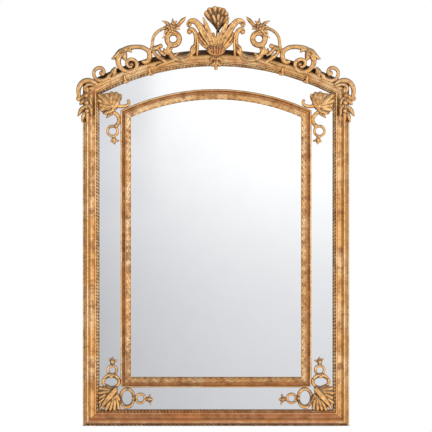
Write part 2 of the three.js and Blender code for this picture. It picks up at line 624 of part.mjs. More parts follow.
// ---- Corner cartouches: leaves from a hub, and a pierced ring strap along each side ----
function cartoucheLeaf(place, hub, tips) {
  return tips.map(([x, z, width]) => {
    const [hx, hz] = hub;
    const middle = [hx + (x - hx) * 0.55, hz + (z - hz) * 0.55];
    return carve(place([hub, middle, [x, z]]), [width * 0.9, width * 1.1, 8], SEAT,
      [CARTOUCHE_DEPTH - 2, CARTOUCHE_DEPTH, 52], { section: LEAF });
  });
}

function strapRing(place, centre, radius, [a0, a1], width) {
  const round = place(spiral(centre, [radius, radius], [a0, a1], 9));
  return carve(round, width, SEAT, STRAP_DEPTH, { section: STRAP, steps: 10 });
}

function strapBar(place, points, width) {
  return carve(place(points), width, SEAT, STRAP_DEPTH, { section: STRAP, steps: 3 });
}

// A closed bud between two small side leaves, at the end of a strap: stalk, tip, and the side leaves' tips.
function bud(place, stalk, tip, leaves) {
  const middle = stalk.map((v, i) => v + (tip[i] - v) * 0.5);
  const body = carve(place([stalk, middle, tip]), [10, 22, 4], SEAT, [36, 42, 34], { section: LEAF });
  const sides = leaves.map((end) =>
    carve(place([stalk, middle, end]), [8, 12, 4], SEAT, [34, 38, 32], { section: LEAF }));
  return join([body, ...sides]);
}

function bottomCartouche() {
  const place = (points) => points.map(([x, z]) => [SIGHT.half - x, SIGHT.bottom + z]);
  const hub = [64, 66];
  return overMoulding(join([
    knob(place([hub])[0], 20, SEAT - 12, CARTOUCHE_DEPTH - 4).intersect(inFrontOf(SEAT)),
    ...cartoucheLeaf(place, hub, [[2, 64, 26], [-2, 24, 26], [0, 0, 26], [26, 2, 26], [66, -2, 26]]),
    strapRing(place, [49, 105], 27, [-70, 250], 11),
    strapBar(place, [[28, 122], [49, 129], [70, 122]], 11),
    strapRing(place, [49, 151], 15, [-90, 269.9], 9),
    bud(place, [49, 164], [49, 204], [[33, 196], [72, 191]]),
    strapRing(place, [107, 45], 31, [160, -160], 11),
    strapBar(place, [[128, 24], [137, 45], [128, 66]], 11),
    strapRing(place, [158, 40], 15, [180, -179.9], 9),
    bud(place, [171, 38], [209, 35], [[200, 58], [200, 14]]),
  ]));
}

function topCartouche() {
  const corner = shoulder(SIGHT);
  const place = (points) => points.map(([x, z]) => [SIGHT.half - x, corner - z]);
  const hub = [66, 50];
  return overMoulding(join([
    knob(place([hub])[0], 20, SEAT - 12, CARTOUCHE_DEPTH - 4).intersect(inFrontOf(SEAT)),
    ...cartoucheLeaf(place, hub,
      [[82, -8, 26], [52, -14, 28], [20, 0, 28], [-8, 2, 26], [-2, 34, 26], [2, 66, 26], [28, 80, 26]]),
    carve(place([[70, 36], [88, 46], [104, 44], [115, 34], [110, 24]]), [14, 12, 11, 10, 6], SEAT,
      [58, 56, 50, 42, 38]),
    strapRing(place, [50, 92], 29, [-110, 90], 11),
    carve(place([[40, 72], [26, 88], [16, 98]]), [14, 10, 4], SEAT, [52, 42, 36], { section: LEAF }),
    strapRing(place, [55, 135], 18, [-90, 269.9], 10),
    bud(place, [57, 152], [58, 188], [[39, 178], [76, 174]]),
  ]));
}

function crest() {
  const seated = (body, station) => overMoulding(onArch(body, station));
  piece('palmette', seated(palmette(), MIDDLE), gilding());
  piece('crown_leaf', onArch(crownLeaf(), MIDDLE), gilding());
  piece('base_shell', seated(baseShell(), MIDDLE), gilding());
  piece('pendant', seated(pendant(), MIDDLE), gilding());
  pair('scroll_bracket', seated(bracket(), MIDDLE));
  pair('arch_leaf', seated(archLeaf(), MIDDLE));
  pair('flower_scroll', seated(flowerScroll(), FLOWER_STATION));
  pair('flower', onArch(flower(), FLOWER_STATION));
  pair('arch_scroll', seated(archScroll(), SCROLL_STATION));
  pair('small_volute', seated(smallVolute(), VOLUTE_STATION));
  pair('ear_scroll', seated(earScroll(), EAR_STATION));
  pair('side_drop', sideDrop());
  CLASP_STATIONS.forEach((station, i) => pair(`clasp_${i + 1}`, seated(clasp(), station)));
}

frame();
hanger(-1, 'left');
hanger(1, 'right');
crest();
pair('cartouche_bottom', bottomCartouche());
pair('cartouche_top', topCartouche());

export default object;
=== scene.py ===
"""Looks of an arched giltwood border-glass mirror, built around its CAD frame.

Lengths in the helpers are millimetres. A depth is a distance in front of the wall plane, so it runs
along -Y. Meshes are written in metres.
"""

import math

import bpy
import numpy as np
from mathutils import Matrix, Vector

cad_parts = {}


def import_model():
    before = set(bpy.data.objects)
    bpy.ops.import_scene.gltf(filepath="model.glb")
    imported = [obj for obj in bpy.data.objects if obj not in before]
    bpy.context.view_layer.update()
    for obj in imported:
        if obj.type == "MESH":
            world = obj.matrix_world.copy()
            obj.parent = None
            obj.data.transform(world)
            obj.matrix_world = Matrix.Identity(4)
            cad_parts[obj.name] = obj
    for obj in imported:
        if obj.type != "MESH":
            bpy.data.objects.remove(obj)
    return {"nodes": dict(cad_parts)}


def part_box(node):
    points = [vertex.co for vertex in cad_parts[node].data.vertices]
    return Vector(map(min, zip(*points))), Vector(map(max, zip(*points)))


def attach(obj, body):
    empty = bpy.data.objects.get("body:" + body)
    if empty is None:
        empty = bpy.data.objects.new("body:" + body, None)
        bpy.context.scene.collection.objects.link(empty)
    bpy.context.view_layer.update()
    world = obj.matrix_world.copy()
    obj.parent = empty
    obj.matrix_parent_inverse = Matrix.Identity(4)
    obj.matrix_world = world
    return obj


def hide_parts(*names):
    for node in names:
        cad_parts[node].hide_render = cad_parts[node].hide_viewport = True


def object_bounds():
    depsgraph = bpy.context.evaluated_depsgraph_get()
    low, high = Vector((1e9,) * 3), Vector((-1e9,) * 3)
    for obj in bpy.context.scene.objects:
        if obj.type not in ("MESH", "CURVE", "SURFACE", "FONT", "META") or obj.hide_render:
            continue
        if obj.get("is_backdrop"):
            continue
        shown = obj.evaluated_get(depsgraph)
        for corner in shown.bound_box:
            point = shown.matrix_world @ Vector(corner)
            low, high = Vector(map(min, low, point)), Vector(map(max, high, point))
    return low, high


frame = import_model()
cad_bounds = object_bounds()

MM = 0.001


def box_mm(node):
    low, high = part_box(node)
    return np.array(low) / MM, np.array(high) / MM


# ---- Sizes, read from the frame where it has them ----
rail_low, rail_high = box_mm("back_rail_bottom")
stile_low, stile_high = box_mm("outer_moulding_left")
inner_low, inner_high = box_mm("inner_moulding_bottom")
inner_side_low, inner_side_high = box_mm("inner_moulding_left")
glass_low, glass_high = box_mm("centre_glass")

HALF_WIDTH = rail_high[0]
APEX = box_mm("back_rail_top")[1][2]
BACK_DEPTH = -rail_low[1]
MOULDING_WIDTH = stile_high[0] - stile_low[0]
INNER_WIDTH = inner_side_high[0] - inner_side_low[0]
GLASS_FRONT = -glass_low[1]
ARCH_RADIUS = 1050.0
INNER_ARCH_RADIUS = 872.0
ARCH_LEDGE = 17.0                    # bare strip of the back frame above the arched moulding
CLEARANCE = 0.3
LIP = GLASS_FRONT + CLEARANCE
SEAT = LIP + CLEARANCE
FRONT_OF_BACK = BACK_DEPTH + CLEARANCE
CORNER_RADIUS = 10.0
REBATE = MOULDING_WIDTH - 7.3        # where the lip over the border glass starts


# ---- Meshes ----
# The first number per vertex is dirt together with painted shade: hollows, grooves, undersides and sides turned from
# the light are darkened by it.
ATTRIBUTES = ("dirt", "bole", "lap")


class Form:
    """Vertices and faces in millimetres, with a few numbers per vertex for the finish, one of them dirt together with
    painted shade.
    """

    def __init__(self):
        self.points = []
        self.faces = []
        self.values = {name: [] for name in ATTRIBUTES}
        self.count = 0

    def add(self, points, faces, dirt=0.0, bole=0.0, lap=0.0):
        points = np.asarray(points, float).reshape(-1, 3)
        self.points.append(points)
        self.faces.extend(tuple(i + self.count for i in face) for face in faces)
        for name, value in zip(ATTRIBUTES, (dirt, bole, lap)):
            self.values[name].append(np.broadcast_to(np.asarray(value, float).reshape(-1), (len(points),))
                                     if np.ndim(value) == 0 else np.asarray(value, float).reshape(-1))
        self.count += len(points)

    def mesh(self, name):
        mesh = bpy.data.meshes.new(name)
        points = np.concatenate(self.points) * MM
        mesh.from_pydata(points.tolist(), [], self.faces)
        for attribute, parts in self.values.items():
            layer = mesh.attributes.new(attribute, "FLOAT", "POINT")
            layer.data.foreach_set("value", np.concatenate(parts).astype(np.float32))
        mesh.update()
        return mesh


def place(name, mesh, material, body="frame", replaced=(), crease=40):
    """Makes a mesh a piece of the object, on a CAD body."""
    piece = bpy.data.objects.new(name, mesh)
    bpy.context.scene.collection.objects.link(piece)
    outward(mesh)
    mesh.polygons.foreach_set("use_smooth", [True] * len(mesh.polygons))
    mesh.set_sharp_from_angle(angle=math.radians(crease))
    mesh.materials.clear()
    mesh.materials.append(material)
    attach(piece, body)
    if replaced:
        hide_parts(*replaced)
    return piece


def outward(mesh):
    """Turns the faces of closed shells outward."""
    import bmesh
    work = bmesh.new()
    work.from_mesh(mesh)
    bmesh.ops.recalc_face_normals(work, faces=work.faces)
    work.to_mesh(mesh)
    work.free()


def grid_faces(rows, columns, wrap=False):
    """Quads of a grid of points, row by row; wrap joins the last column to the first."""
    faces = []
    last = columns if wrap else columns - 1
    for i in range(rows - 1):
        for j in range(last):
            k = (j + 1) % columns
            faces.append((i * columns + j, i * columns + k, (i + 1) * columns + k, (i + 1) * columns + j))
    return faces


# ---- The frames' outlines ----
class Loop:
    def __init__(self, name, half, bottom, radius, apex):
        self.name = name
        self.half = half
        self.bottom = bottom
        self.radius = radius
        self.centre = apex - radius

    def worn_and_shaded(self, side):
        return WORN_AND_SHADED.get((self.name, side), (0.0, 0.0, 0.0))

    def shoulder(self, w=0.0):
        half = self.half - w
        return self.centre + np.sqrt((self.radius - w) ** 2 - half ** 2)

    def rounded(self, x, z):
        """Rounds the two bottom corners."""
        across = np.abs(x) - (self.half - CORNER_RADIUS)
        down = self.bottom + CORNER_RADIUS - z
        longer = np.maximum(across, down)
        shrink = np.where((across > 0) & (down > 0), longer / np.maximum(np.hypot(across, down), 1e-9), 1.0)
        return (np.sign(x) * (self.half - CORNER_RADIUS + across * shrink),
                self.bottom + CORNER_RADIUS - down * shrink)

    def point(self, side, w, t):
        """X and Z at a distance w in from the outline and a share t of the mitred length."""
        w = np.asarray(w, float)
        half = self.half - w
        if side in ("left", "right"):
            low = self.bottom + w
            x = half * (-1 if side == "left" else 1)
            return self.rounded(x * np.ones_like(t), low + (self.shoulder(w) - low) * t)
        if side == "bottom":
            return self.rounded(half * (2 * t - 1), (self.bottom + w) * np.ones_like(t))
        radius = self.radius - w
        angle = np.arcsin(half / radius) * (2 * t - 1)
        return radius * np.sin(angle), self.centre + radius * np.cos(angle)

    def length(self, side, w):
        half = self.half - w
        if side in ("left", "right"):
            return self.shoulder(w) - self.bottom - w
        if side == "bottom":
            return 2 * half
        radius = self.radius - w
        return 2 * radius * math.asin(half / radius)


OUTER = Loop("outer", HALF_WIDTH, 0.0, ARCH_RADIUS, APEX)
INNER = Loop("inner", inner_high[0], inner_low[2], INNER_ARCH_RADIUS, box_mm("inner_moulding_top")[1][2])
SIDES = ("left", "right", "bottom", "top")


def spline(keys, steps=6):
    """A smooth line through rows of numbers, with steps between each pair of them."""
    keys = np.asarray(keys, float)
    if len(keys) < 3:
        return keys
    padded = np.vstack([2 * keys[0] - keys[1], keys, 2 * keys[-1] - keys[-2]])
    out = []
    for i in range(1, len(padded) - 2):
        a, b, c, d = padded[i - 1:i + 3]
        for t in np.arange(steps) / steps:
            out.append(0.5 * (2 * b + (c - a) * t + (2 * a - 5 * b + 4 * c - d) * t * t
                              + (3 * b - a - 3 * c + d) * t ** 3))
    out.append(keys[-1])
    return np.array(out)


# ---- Moulding profiles: rows of distance in, depth, dirt and painted shade, bole ----
# The third column paints shade with the dirt: high in coves, grooves and at the sight edge, low on the raised rounds.
def outer_side_profile():
    return np.vstack([
        [[0, FRONT_OF_BACK, 0.6, 0.3], [0, 30, 0.4, 0.4], [0.4, 33, 0.3, 0.4], [9.0, 34, 0.6, 0.3]],
        spline([[9.2, 36, 0.45, 0.2], [9.8, 45, 0.2, 0.2], [12.8, 53.2, 0.0, 0.1], [18.4, 57.7, 0.0, 0.0],
                [24.0, 54.6, 0.0, 0.05], [27.4, 48.4, 0.15, 0.3], [28.4, 45.2, 0.4, 0.5]]),
        spline([[28.8, 44.8, 0.45, 0.4], [31, 42.2, 0.42, 0.4], [34, 40.8, 0.42, 0.45], [37, 40.4, 0.48, 0.5],
                [40, 40.8, 0.46, 0.5], [43, 42.0, 0.42, 0.5], [45.4, 43.4, 0.4, 0.4]]),
        spline([[46.0, 43.8, 0.4, 0.2], [46.8, 45.2, 0.1, 0.1], [49.6, 46.6, 0.0, 0.0], [52.6, 44.4, 0.2, 0.1],
                [53.6, 41, 0.9, 0.2]], 4),
        [[54, 39.5, 1.0, 0.2], [64.6, 33.6, 0.95, 0.2], [65, 33.2, 0.9, 0.2], [65, LIP, 0.95, 0.1],
         [REBATE, LIP, 1, 0], [REBATE, FRONT_OF_BACK, 1, 0]],
    ])


def outer_arch_profile():
    return np.vstack([
        [[ARCH_LEDGE, FRONT_OF_BACK, 0.9, 0.3], [ARCH_LEDGE, 34, 0.5, 0.3]],
        spline([[17.2, 36, 0.4, 0.3], [17.8, 42.5, 0.15, 0.2], [20.6, 47.6, 0.0, 0.1], [25.5, 49.8, 0.0, 0.0],
                [31, 48.8, 0.0, 0.1], [35.5, 45.8, 0.1, 0.2], [37.4, 43.6, 0.4, 0.3]]),
        spline([[38, 43.2, 0.4, 0.3], [41, 43.0, 0.1, 0.35], [45, 41.6, 0.1, 0.4], [48, 40.6, 0.3, 0.3]]),
        spline([[48.4, 40.8, 0.4, 0.2], [49, 43.4, 0.1, 0.1], [51.4, 44.2, 0.0, 0.0], [53.6, 42.6, 0.3, 0.1],
                [54.4, 40.6, 0.9, 0.2]], 4),
        [[55, 39, 1.0, 0.2], [64.6, 33.6, 0.95, 0.2], [65, 33.2, 0.9, 0.2], [65, LIP, 0.95, 0.1],
         [REBATE, LIP, 1, 0], [REBATE, FRONT_OF_BACK, 1, 0]],
    ])


def inner_profile():
    return np.vstack([
        [[0, LIP, 0.9, 0.2], [0, 37, 0.2, 0.3]],
        spline([[0.1, 38, 0.1, 0.2], [0.5, 43.4, 0.0, 0.1], [2.2, 46.3, 0.0, 0.0], [4.2, 47, 0.0, 0.0],
                [6.6, 45.4, 0.2, 0.3], [8.6, 41.4, 0.5, 0.5], [9.2, 39.2, 0.7, 0.5]], 4),
        spline([[9.5, 38.8, 0.7, 0.6], [11.4, 37, 0.6, 1.0], [14, 36.4, 0.5, 1.1], [16.8, 37.2, 0.5, 0.9],
                [18.2, 39.6, 0.5, 0.5]], 4),
        spline([[18.5, 40, 0.3, 0.3], [18.9, 43, 0.0, 0.1], [20.2, 43.8, 0.0, 0.0], [21.4, 42.6, 0.3, 0.1]], 4),
        [[21.8, 41, 0.8, 0.2], [39.6, 34.4, 0.8, 0.2], [40.6, 34.2, 0.3, 0.2], [INNER_WIDTH, 33.4, 0.4, 0.2],
         [INNER_WIDTH, LIP, 0.9, 0.2]],
    ])


def back_profile():
    seat = BACK_DEPTH - 11.7
    return np.array([[0, 0, 0.2, 0], [0, BACK_DEPTH, 0.2, 0], [61.5, BACK_DEPTH, 0, 0], [61.5, seat, 0.5, 0],
                     [80, seat, 0.3, 0], [80, 0, 0, 0]], float)


# More dirt and painted shade, more bole, and more dirt and painted shade on the outermost edge, by frame and side; it
# darkens the bottom rails, the inner left side and the arch.
WORN_AND_SHADED = {("outer", "bottom"): (0.12, 0.85, 0.6), ("inner", "bottom"): (0.04, 0.20, 0.0),
        ("inner", "left"): (0.06, 0.14, 0.0),
        ("outer", "top"): (0.08, 0.17, 0.0)}
OUTERMOST = 12                       # width of that edge


def sweep_profile(form, loop, side, profile, count):
    """A moulding with this profile along one mitred side."""
    more_dirt_and_shade, more_bole, edge_dirt_and_shade = loop.worn_and_shaded(side)
    t = np.linspace(0, 1, count)
    rows = []
    for share in t:
        x, z = loop.point(side, profile[:, 0], share)
        rows.append(np.stack([x * np.ones(len(profile)), -profile[:, 1], z * np.ones(len(profile))], 1))
    points = np.array(rows)
    size = len(profile)
    faces = grid_faces(count, size, wrap=True)
    faces.append(tuple(range(size)))
    faces.append(tuple((count - 1) * size + i for i in range(size)))
    lap = np.repeat(t * loop.length(side, profile[:, 0].mean()), size) + np.tile(profile[:, 0] * 0.07, count)
    # Dirt and painted shade from the profile, the side and the outer edge.
    dirt = np.tile(profile[:, 2] + more_dirt_and_shade + edge_dirt_and_shade * (profile[:, 0] < OUTERMOST), count)
    form.add(points, faces, dirt, np.tile(profile[:, 3] + more_bole, count), lap)


def ornament_row(form, loop, side, start, end, pitch, relief, across=7, per_motif=8, skirt=3.0):
    """A carved row between two [distance in, depth] edges. relief(s, a) gives its height, its dirt and painted shade,
    and its bole, for s in motifs along the row and a from -1 to 1 across it."""
    middle = (start[0] + end[0]) / 2
    motifs = max(1, round(loop.length(side, middle) / pitch))
    count = motifs * per_motif + 1
    t = np.linspace(0, 1, count)
    a = np.linspace(-1, 1, across)
    share = (a + 1) / 2
    w = start[0] + (end[0] - start[0]) * share
    base = start[1] + (end[1] - start[1]) * share
    grid_s, grid_a = np.meshgrid(t * motifs, a, indexing="ij")
    height, dirt, bole = relief(grid_s, grid_a)
    x = np.empty_like(height)
    z = np.empty_like(height)
    for j in range(across):
        x[:, j], z[:, j] = loop.point(side, w[j], t)
    depth = base[None, :] + height
    low = base[None, :] - skirt + 0 * height
    points = np.concatenate([np.stack([x, -depth, z], 2), np.stack([x[:, ::-1], -low[:, ::-1], z[:, ::-1]], 2)], 1)
    size = 2 * across
    faces = grid_faces(count, size, wrap=True)
    faces.append(tuple(range(size)))
    faces.append(tuple((count - 1) * size + i for i in range(size)))
    more_dirt_and_shade, more_bole, edge_dirt_and_shade = loop.worn_and_shaded(side)
    dirt = dirt + more_dirt_and_shade * 0.4 + edge_dirt_and_shade * (middle < OUTERMOST)
    bole = bole + more_bole * 0.6
    # The hidden skirt under the row gets full dirt and painted shade.
    both = lambda value, under: np.concatenate([value, np.full_like(value, under)], 1)
    lap = np.repeat(t * loop.length(side, middle), size)
    form.add(points, faces, both(dirt, 1.0), both(bole, 0.0), lap)


def dome(a, power=2.0):
    return np.clip(1 - np.abs(a) ** power, 0, 1)


def rope(slant, depth, lift):
    """A twisted cord: rounded strands with narrow grooves between, darkened with dirt and painted shade."""
    def relief(s, a):
        phase = np.abs(np.sin(np.pi * (s + slant * a)))
        strand = phase ** 0.55
        height = lift * dome(a, 2.4) ** 0.5 * (1 - depth + depth * strand)
        return height, np.clip(1.10 - 1.35 * strand, 0, 1), 0.25 * (1 - strand)
    return relief


def gadroons(s, a):
    """Slanted leaves at the glass, each with a deep cut beside it; the cuts get dirt and painted shade, the outer half
    of the row a little less.
    """
    phase = (s + 0.32 * a) % 1
    blade = np.clip(np.sin(np.pi * phase ** 0.8), 0, 1) ** 0.6
    height = 2.6 * blade * (0.75 + 0.25 * dome(a)) - 0.3
    return height, np.clip(1.12 - 0.60 * blade - 0.1 * (a < 0), 0.40, 1), 0.4 + 0 * s


def guilloche(s, a):
    """Two ribbons that cross, with a rosette in every eye; the low ground gets dirt and painted shade."""
    wave = 0.62 * np.cos(np.pi * s)
    ribbon = lambda centre: np.clip(1 - ((a - centre) / 0.34) ** 2, 0, 1) ** 0.5
    eye = (s % 1) - 0.0
    along = np.minimum(eye, 1 - eye)
    rosette = np.clip(1 - (along / 0.22) ** 2 - (a / 0.36) ** 2, 0, 1) ** 0.5
    height = np.maximum(np.maximum(ribbon(wave), ribbon(-wave)) * 2.2, rosette * 3.0)
    dirt = np.clip(0.60 - height / 9, 0, 1)
    return height * 0.6, dirt, 0.4 + 0.3 * dirt


# ---- Carving: strokes swept along a line ----
def catmull(points, count):
    """Evenly spaced points and tangents on the centripetal spline through some points."""
    points = np.asarray(points, float)
    if len(points) == 2:
        points = np.array([points[0], points.mean(0), points[1]])
    padded = np.vstack([2 * points[0] - points[1], points, 2 * points[-1] - points[-2]])
    dense = []
    for i in range(1, len(padded) - 2):
        p = padded[i - 1:i + 3]
        knots = np.concatenate([[0], np.cumsum(np.maximum(np.linalg.norm(np.diff(p, axis=0), axis=1), 1e-6) ** 0.5)])
        for t in np.linspace(knots[1], knots[2], 24, endpoint=False):
            blend = lambda a, b, ta, tb: a + (b - a) * (t - ta) / (tb - ta)
            a1 = blend(p[0], p[1], knots[0], knots[1])
            a2 = blend(p[1], p[2], knots[1], knots[2])
            a3 = blend(p[2], p[3], knots[2], knots[3])
            b1 = blend(a1, a2, knots[0], knots[2])
            b2 = blend(a2, a3, knots[1], knots[3])
            dense.append(blend(b1, b2, knots[1], knots[2]))
    dense.append(points[-1])
    dense = np.array(dense)
    run = np.concatenate([[0], np.cumsum(np.linalg.norm(np.diff(dense, axis=0), axis=1))])
    at = np.linspace(0, run[-1], count)
    even = np.stack([np.interp(at, run, dense[:, i]) for i in range(2)], 1)
    tangent = np.gradient(even, axis=0)
    tangent /= np.maximum(np.linalg.norm(tangent, axis=1, keepdims=True), 1e-9)
    return even, tangent, run[-1]


def along(values, t):
    values = np.atleast_1d(np.asarray(values, float))
    return np.interp(t, np.linspace(0, 1, len(values)), values) if len(values) > 1 else values[0] + 0 * t


# A section says how far the front lies under its highest line, in half widths, at a from -1 to 1 across.
def edge_fall(a, power=3.0):
    return 1 - np.clip(1 - np.abs(a) ** power, 0, 1) ** 0.5


def band_section(a, t):
    """A scroll band: raised, rounded edges with a hollow between."""
    return 1.05 * edge_fall(a, 2.3) + 0.15 * np.exp(-(a / 0.36) ** 2)


def stem_section(a, t):
    return 1.1 * edge_fall(a, 2.0)


def leaf_section(a, t):
    """A leaf: a midrib, flutes that sweep out to the tip, and edges that fall away."""
    flutes = 0.5 - 0.5 * np.cos(2 * np.pi * (2.1 * np.abs(a) - 0.35 * t))
    return 0.70 * edge_fall(a, 2.2) + 0.26 * flutes + 0.34 * np.abs(a)


def flute_section(a, t):
    """A palmette blade: sharp raised edges and one deep flute, with a thin midrib."""
    return 0.85 * edge_fall(a, 3.2) + 0.46 * np.exp(-(a / 0.5) ** 2) - 0.22 * np.exp(-(a / 0.15) ** 2)


def strap_section(a, t):
    return 0.9 * edge_fall(a, 2.2)


SECTIONS = {"band": band_section, "stem": stem_section, "leaf": leaf_section, "flute": flute_section,
            "strap": strap_section}
THINNEST = 2.5


def stroke(form, points, widths, fronts, back, kind="band", closed=False, step=2.0, across=13):
    """A carved stroke from back to front depth along points in X and Z."""
    count = max(8, int(catmull(points, 8)[2] / step))
    spine, tangent, length = catmull(points, count)
    if closed:
        tangent[0] = tangent[-1] = (tangent[0] + tangent[-1]) / 2
    t = np.linspace(0, 1, count)
    full = along(widths, t) / 2
    half = full.copy()
    if not closed:
        distance = np.minimum(t, 1 - t) * length
        half = full * np.clip(1 - (1 - np.clip(distance / np.maximum(full, 1e-3), 0, 1)) ** 2, 0, 1) ** 0.5
    half = np.maximum(half, 0.4)
    front = along(fronts, t) - (full - half) * 0.5
    a = np.sin(np.linspace(-np.pi / 2, np.pi / 2, across))
    grid_t, grid_a = np.meshgrid(t, a, indexing="ij")
    depth = front[:, None] - half[:, None] * SECTIONS[kind](grid_a, grid_t)
    depth = np.maximum(depth, back + THINNEST)
    side = np.stack([-tangent[:, 1], tangent[:, 0]], 1)
    x = spine[:, 0, None] + side[:, 0, None] * half[:, None] * a[None, :]
    z = spine[:, 1, None] + side[:, 1, None] * half[:, None] * a[None, :]
    top = np.stack([x, -depth, z], 2)
    under = np.stack([x[:, ::-1], np.full_like(x, -back), z[:, ::-1]], 2)
    points3 = np.concatenate([top, under], 1)
    size = points3.shape[1]
    faces = grid_faces(count, size, wrap=True)
    faces.append(tuple(range(size)))
    faces.append(tuple((count - 1) * size + i for i in range(size)))
    form.add(points3, faces)


def knob(form, centre, radius, back, front, turns=20, rings=7):
    """A round boss: a half ball in front of a short cylinder."""
    x0, z0 = centre
    dome_height = min(radius * 0.8, front - back - 1)
    rows = [(radius * 0.96, back)]
    for i in range(rings):
        lift = math.pi / 2 * i / rings
        rows.append((radius * math.cos(lift), front - dome_height * (1 - math.sin(lift))))
    angles = 2 * np.pi * np.arange(turns) / turns
    points = [[x0 + r * math.cos(b), -d, z0 + r * math.sin(b)] for r, d in rows for b in angles]
    faces = grid_faces(len(rows), turns, wrap=True)
    top = (len(rows) - 1) * turns
    faces.append(tuple(range(turns)))
    faces.append(tuple(top + j for j in range(turns)))
    form.add(points, faces)


def spiral(centre, radii, angles, count):
    t = np.linspace(0, 1, count)
    angle = np.radians(angles[0] + (angles[1] - angles[0]) * t)
    radius = radii[0] + (radii[1] - radii[0]) * t
    return np.stack([centre[0] + radius * np.cos(angle), centre[1] + radius * np.sin(angle)], 1).tolist()


def crest(points):
    """Places in the crest: X from the middle, and Z above the top of the arch."""
    return [[x, APEX + z] for x, z in points]


def clasp_places():
    """The arch's angle at the middle of each clasp on the right."""
    half_arch = OUTER.length("top", 0) / 2
    for share in (0.505, 0.700):
        angle = share * half_arch / ARCH_RADIUS
        yield angle


# ---- From strokes to a carved piece ----
VOXEL = 1.3                          # fusing step of the carvings
FINE_REACH = 12                      # smoothing rounds that tell a groove from a ridge
BROAD_REACH = 70                     # and the ones that tell a gap between leaves
SOFTENING = 2
LOW_CARVING = 47                     # carving nearer the wall than this gets more dirt and painted shade
LOW_DIRT_AND_SHADE = 0.34                      # the least dirt and painted shade on it


def fused(form, name):
    """One gesso-smooth skin over overlapping strokes."""
    mesh = form.mesh(name)
    outward(mesh)
    work = bpy.data.objects.new(name + "_work", mesh)
    bpy.context.scene.collection.objects.link(work)
    remesh = work.modifiers.new("fuse", "REMESH")
    remesh.mode = "VOXEL"
    remesh.voxel_size = VOXEL * MM
    smooth = work.modifiers.new("soften", "SMOOTH")
    smooth.factor = 0.5
    smooth.iterations = SOFTENING
    graph = bpy.context.evaluated_depsgraph_get()
    result = bpy.data.meshes.new_from_object(work.evaluated_get(graph))
    bpy.data.objects.remove(work)
    bpy.data.meshes.remove(mesh)
    result.name = name
    paint_hollows(result)
    return result


# More dirt and painted shade, more dust and painted top shade, and bole, by how a carving's name starts.
FRESH = (0.0, 0.0, 0.2)
AGED_AND_SHADED = {"crown": (0.42, 0.08, 0.55), "base": (0.24, 0.0, 0.75), "clasp": (0.36, 0.0, 0.5),
        "pendant": (0.12, 0.0, 0.5), "side": (0.12, 0.15, 0.35), "flower_right": (0.20, 0.05, 0.5), "arch_scroll": (0.06, 0.12, 0.25),
        "flower_scroll": (0.07, 0.10, 0.25), "small": (0.02, 0.40, 0.3), "ear": (0.02, 0.40, 0.3),
        "cartouche_bottom": (0.10, 0.0, 0.3), "cartouche_top": (-0.28, 0.0, 0.15)}


def paint_hollows(mesh):
    """Paints dirt and shade into hollows and onto sides turned from the front, and keeps high places clean, by how far
    a point lies under or over its smoothed surroundings; marks the upper edges with dust and painted top shade, and the
    bare wood behind."""
    count = len(mesh.vertices)
    points = np.empty(count * 3)
    mesh.vertices.foreach_get("co", points)
    points = points.reshape(-1, 3) / MM
    edges = np.empty(len(mesh.edges) * 2, int)
    mesh.edges.foreach_get("vertices", edges)
    ends = edges.reshape(-1, 2)
    first = np.concatenate([ends[:, 0], ends[:, 1]])
    second = np.concatenate([ends[:, 1], ends[:, 0]])
    degree = np.maximum(np.bincount(first, minlength=count), 1)

    def average(values):
        return np.stack([np.bincount(first, values[second, i], count) / degree for i in range(values.shape[1])], 1)

    normals = np.array([v.normal[:] for v in mesh.vertices])
    heights = []
    smooth = points
    for i in range(1, BROAD_REACH + 1):
        smooth = average(smooth)
        if i in (FINE_REACH, BROAD_REACH):
            heights.append(((points - smooth) * normals).sum(1))
    fine, broad = (average(height[:, None])[:, 0] for height in heights)
    facing = np.clip(-normals[:, 1], 0, 1)
    low = np.clip((LOW_CARVING + points[:, 1]) / 6, 0, 1)
    found = [aged for start, aged in AGED_AND_SHADED.items() if mesh.name.startswith(start)]
    more_dirt_and_shade, more_dust_and_top_shade, bole = (found or [FRESH])[0]
    # Painted shade with the dirt: hollows, gaps between lobes, sides turned from the front and carving near the wall
    # get darker.
    dirt = np.clip(0.46 - 0.60 * fine - 0.16 * broad + 0.6 * (1 - facing) + 0.50 * low + more_dirt_and_shade, 0, 1)
    dirt = np.maximum(dirt, LOW_DIRT_AND_SHADE * low)
    # Up-facing surfaces get dust and a painted darker top.
    dust = np.clip(1.7 * normals[:, 2] - 0.2 + more_dust_and_top_shade, 0, 1)
    behind = np.clip(2 * normals[:, 1] - 0.6, 0, 1)
    lap = points[:, 2] + 0.3 * points[:, 0]
    for name, value in (("dirt", dirt), ("bole", bole + 0 * dirt), ("lap", lap), ("dust", dust), ("behind", behind)):
        layer = mesh.attributes.get(name) or mesh.attributes.new(name, "FLOAT", "POINT")
        layer.data.foreach_set("value", value.astype(np.float32))


def mirrored(mesh, name):
    copy = mesh.copy()
    copy.name = name
    points = np.empty(len(copy.vertices) * 3)
    copy.vertices.foreach_get("co", points)
    points = points.reshape(-1, 3)
    points[:, 0] *= -1
    copy.vertices.foreach_set("co", points.reshape(-1))
    copy.flip_normals()
    return copy


def carving(name, form):
    return place(name + "_carved", fused(form, name), gilding_carved, replaced=[name], crease=75)


def carving_pair(name, form):
    right = fused(form, name + "_right")
    left = mirrored(right, name + "_left")
    place(name + "_right_carved", right, gilding_carved, replaced=[name + "_right"], crease=75)
    place(name + "_left_carved", left, gilding_carved, replaced=[name + "_left"], crease=75)


# ---- Materials ----
def new_material(name):
    material = bpy.data.materials.new(name)
    material.use_nodes = True
    nodes = material.node_tree.nodes
    shader = nodes["Principled BSDF"]
    return material, material.node_tree, shader


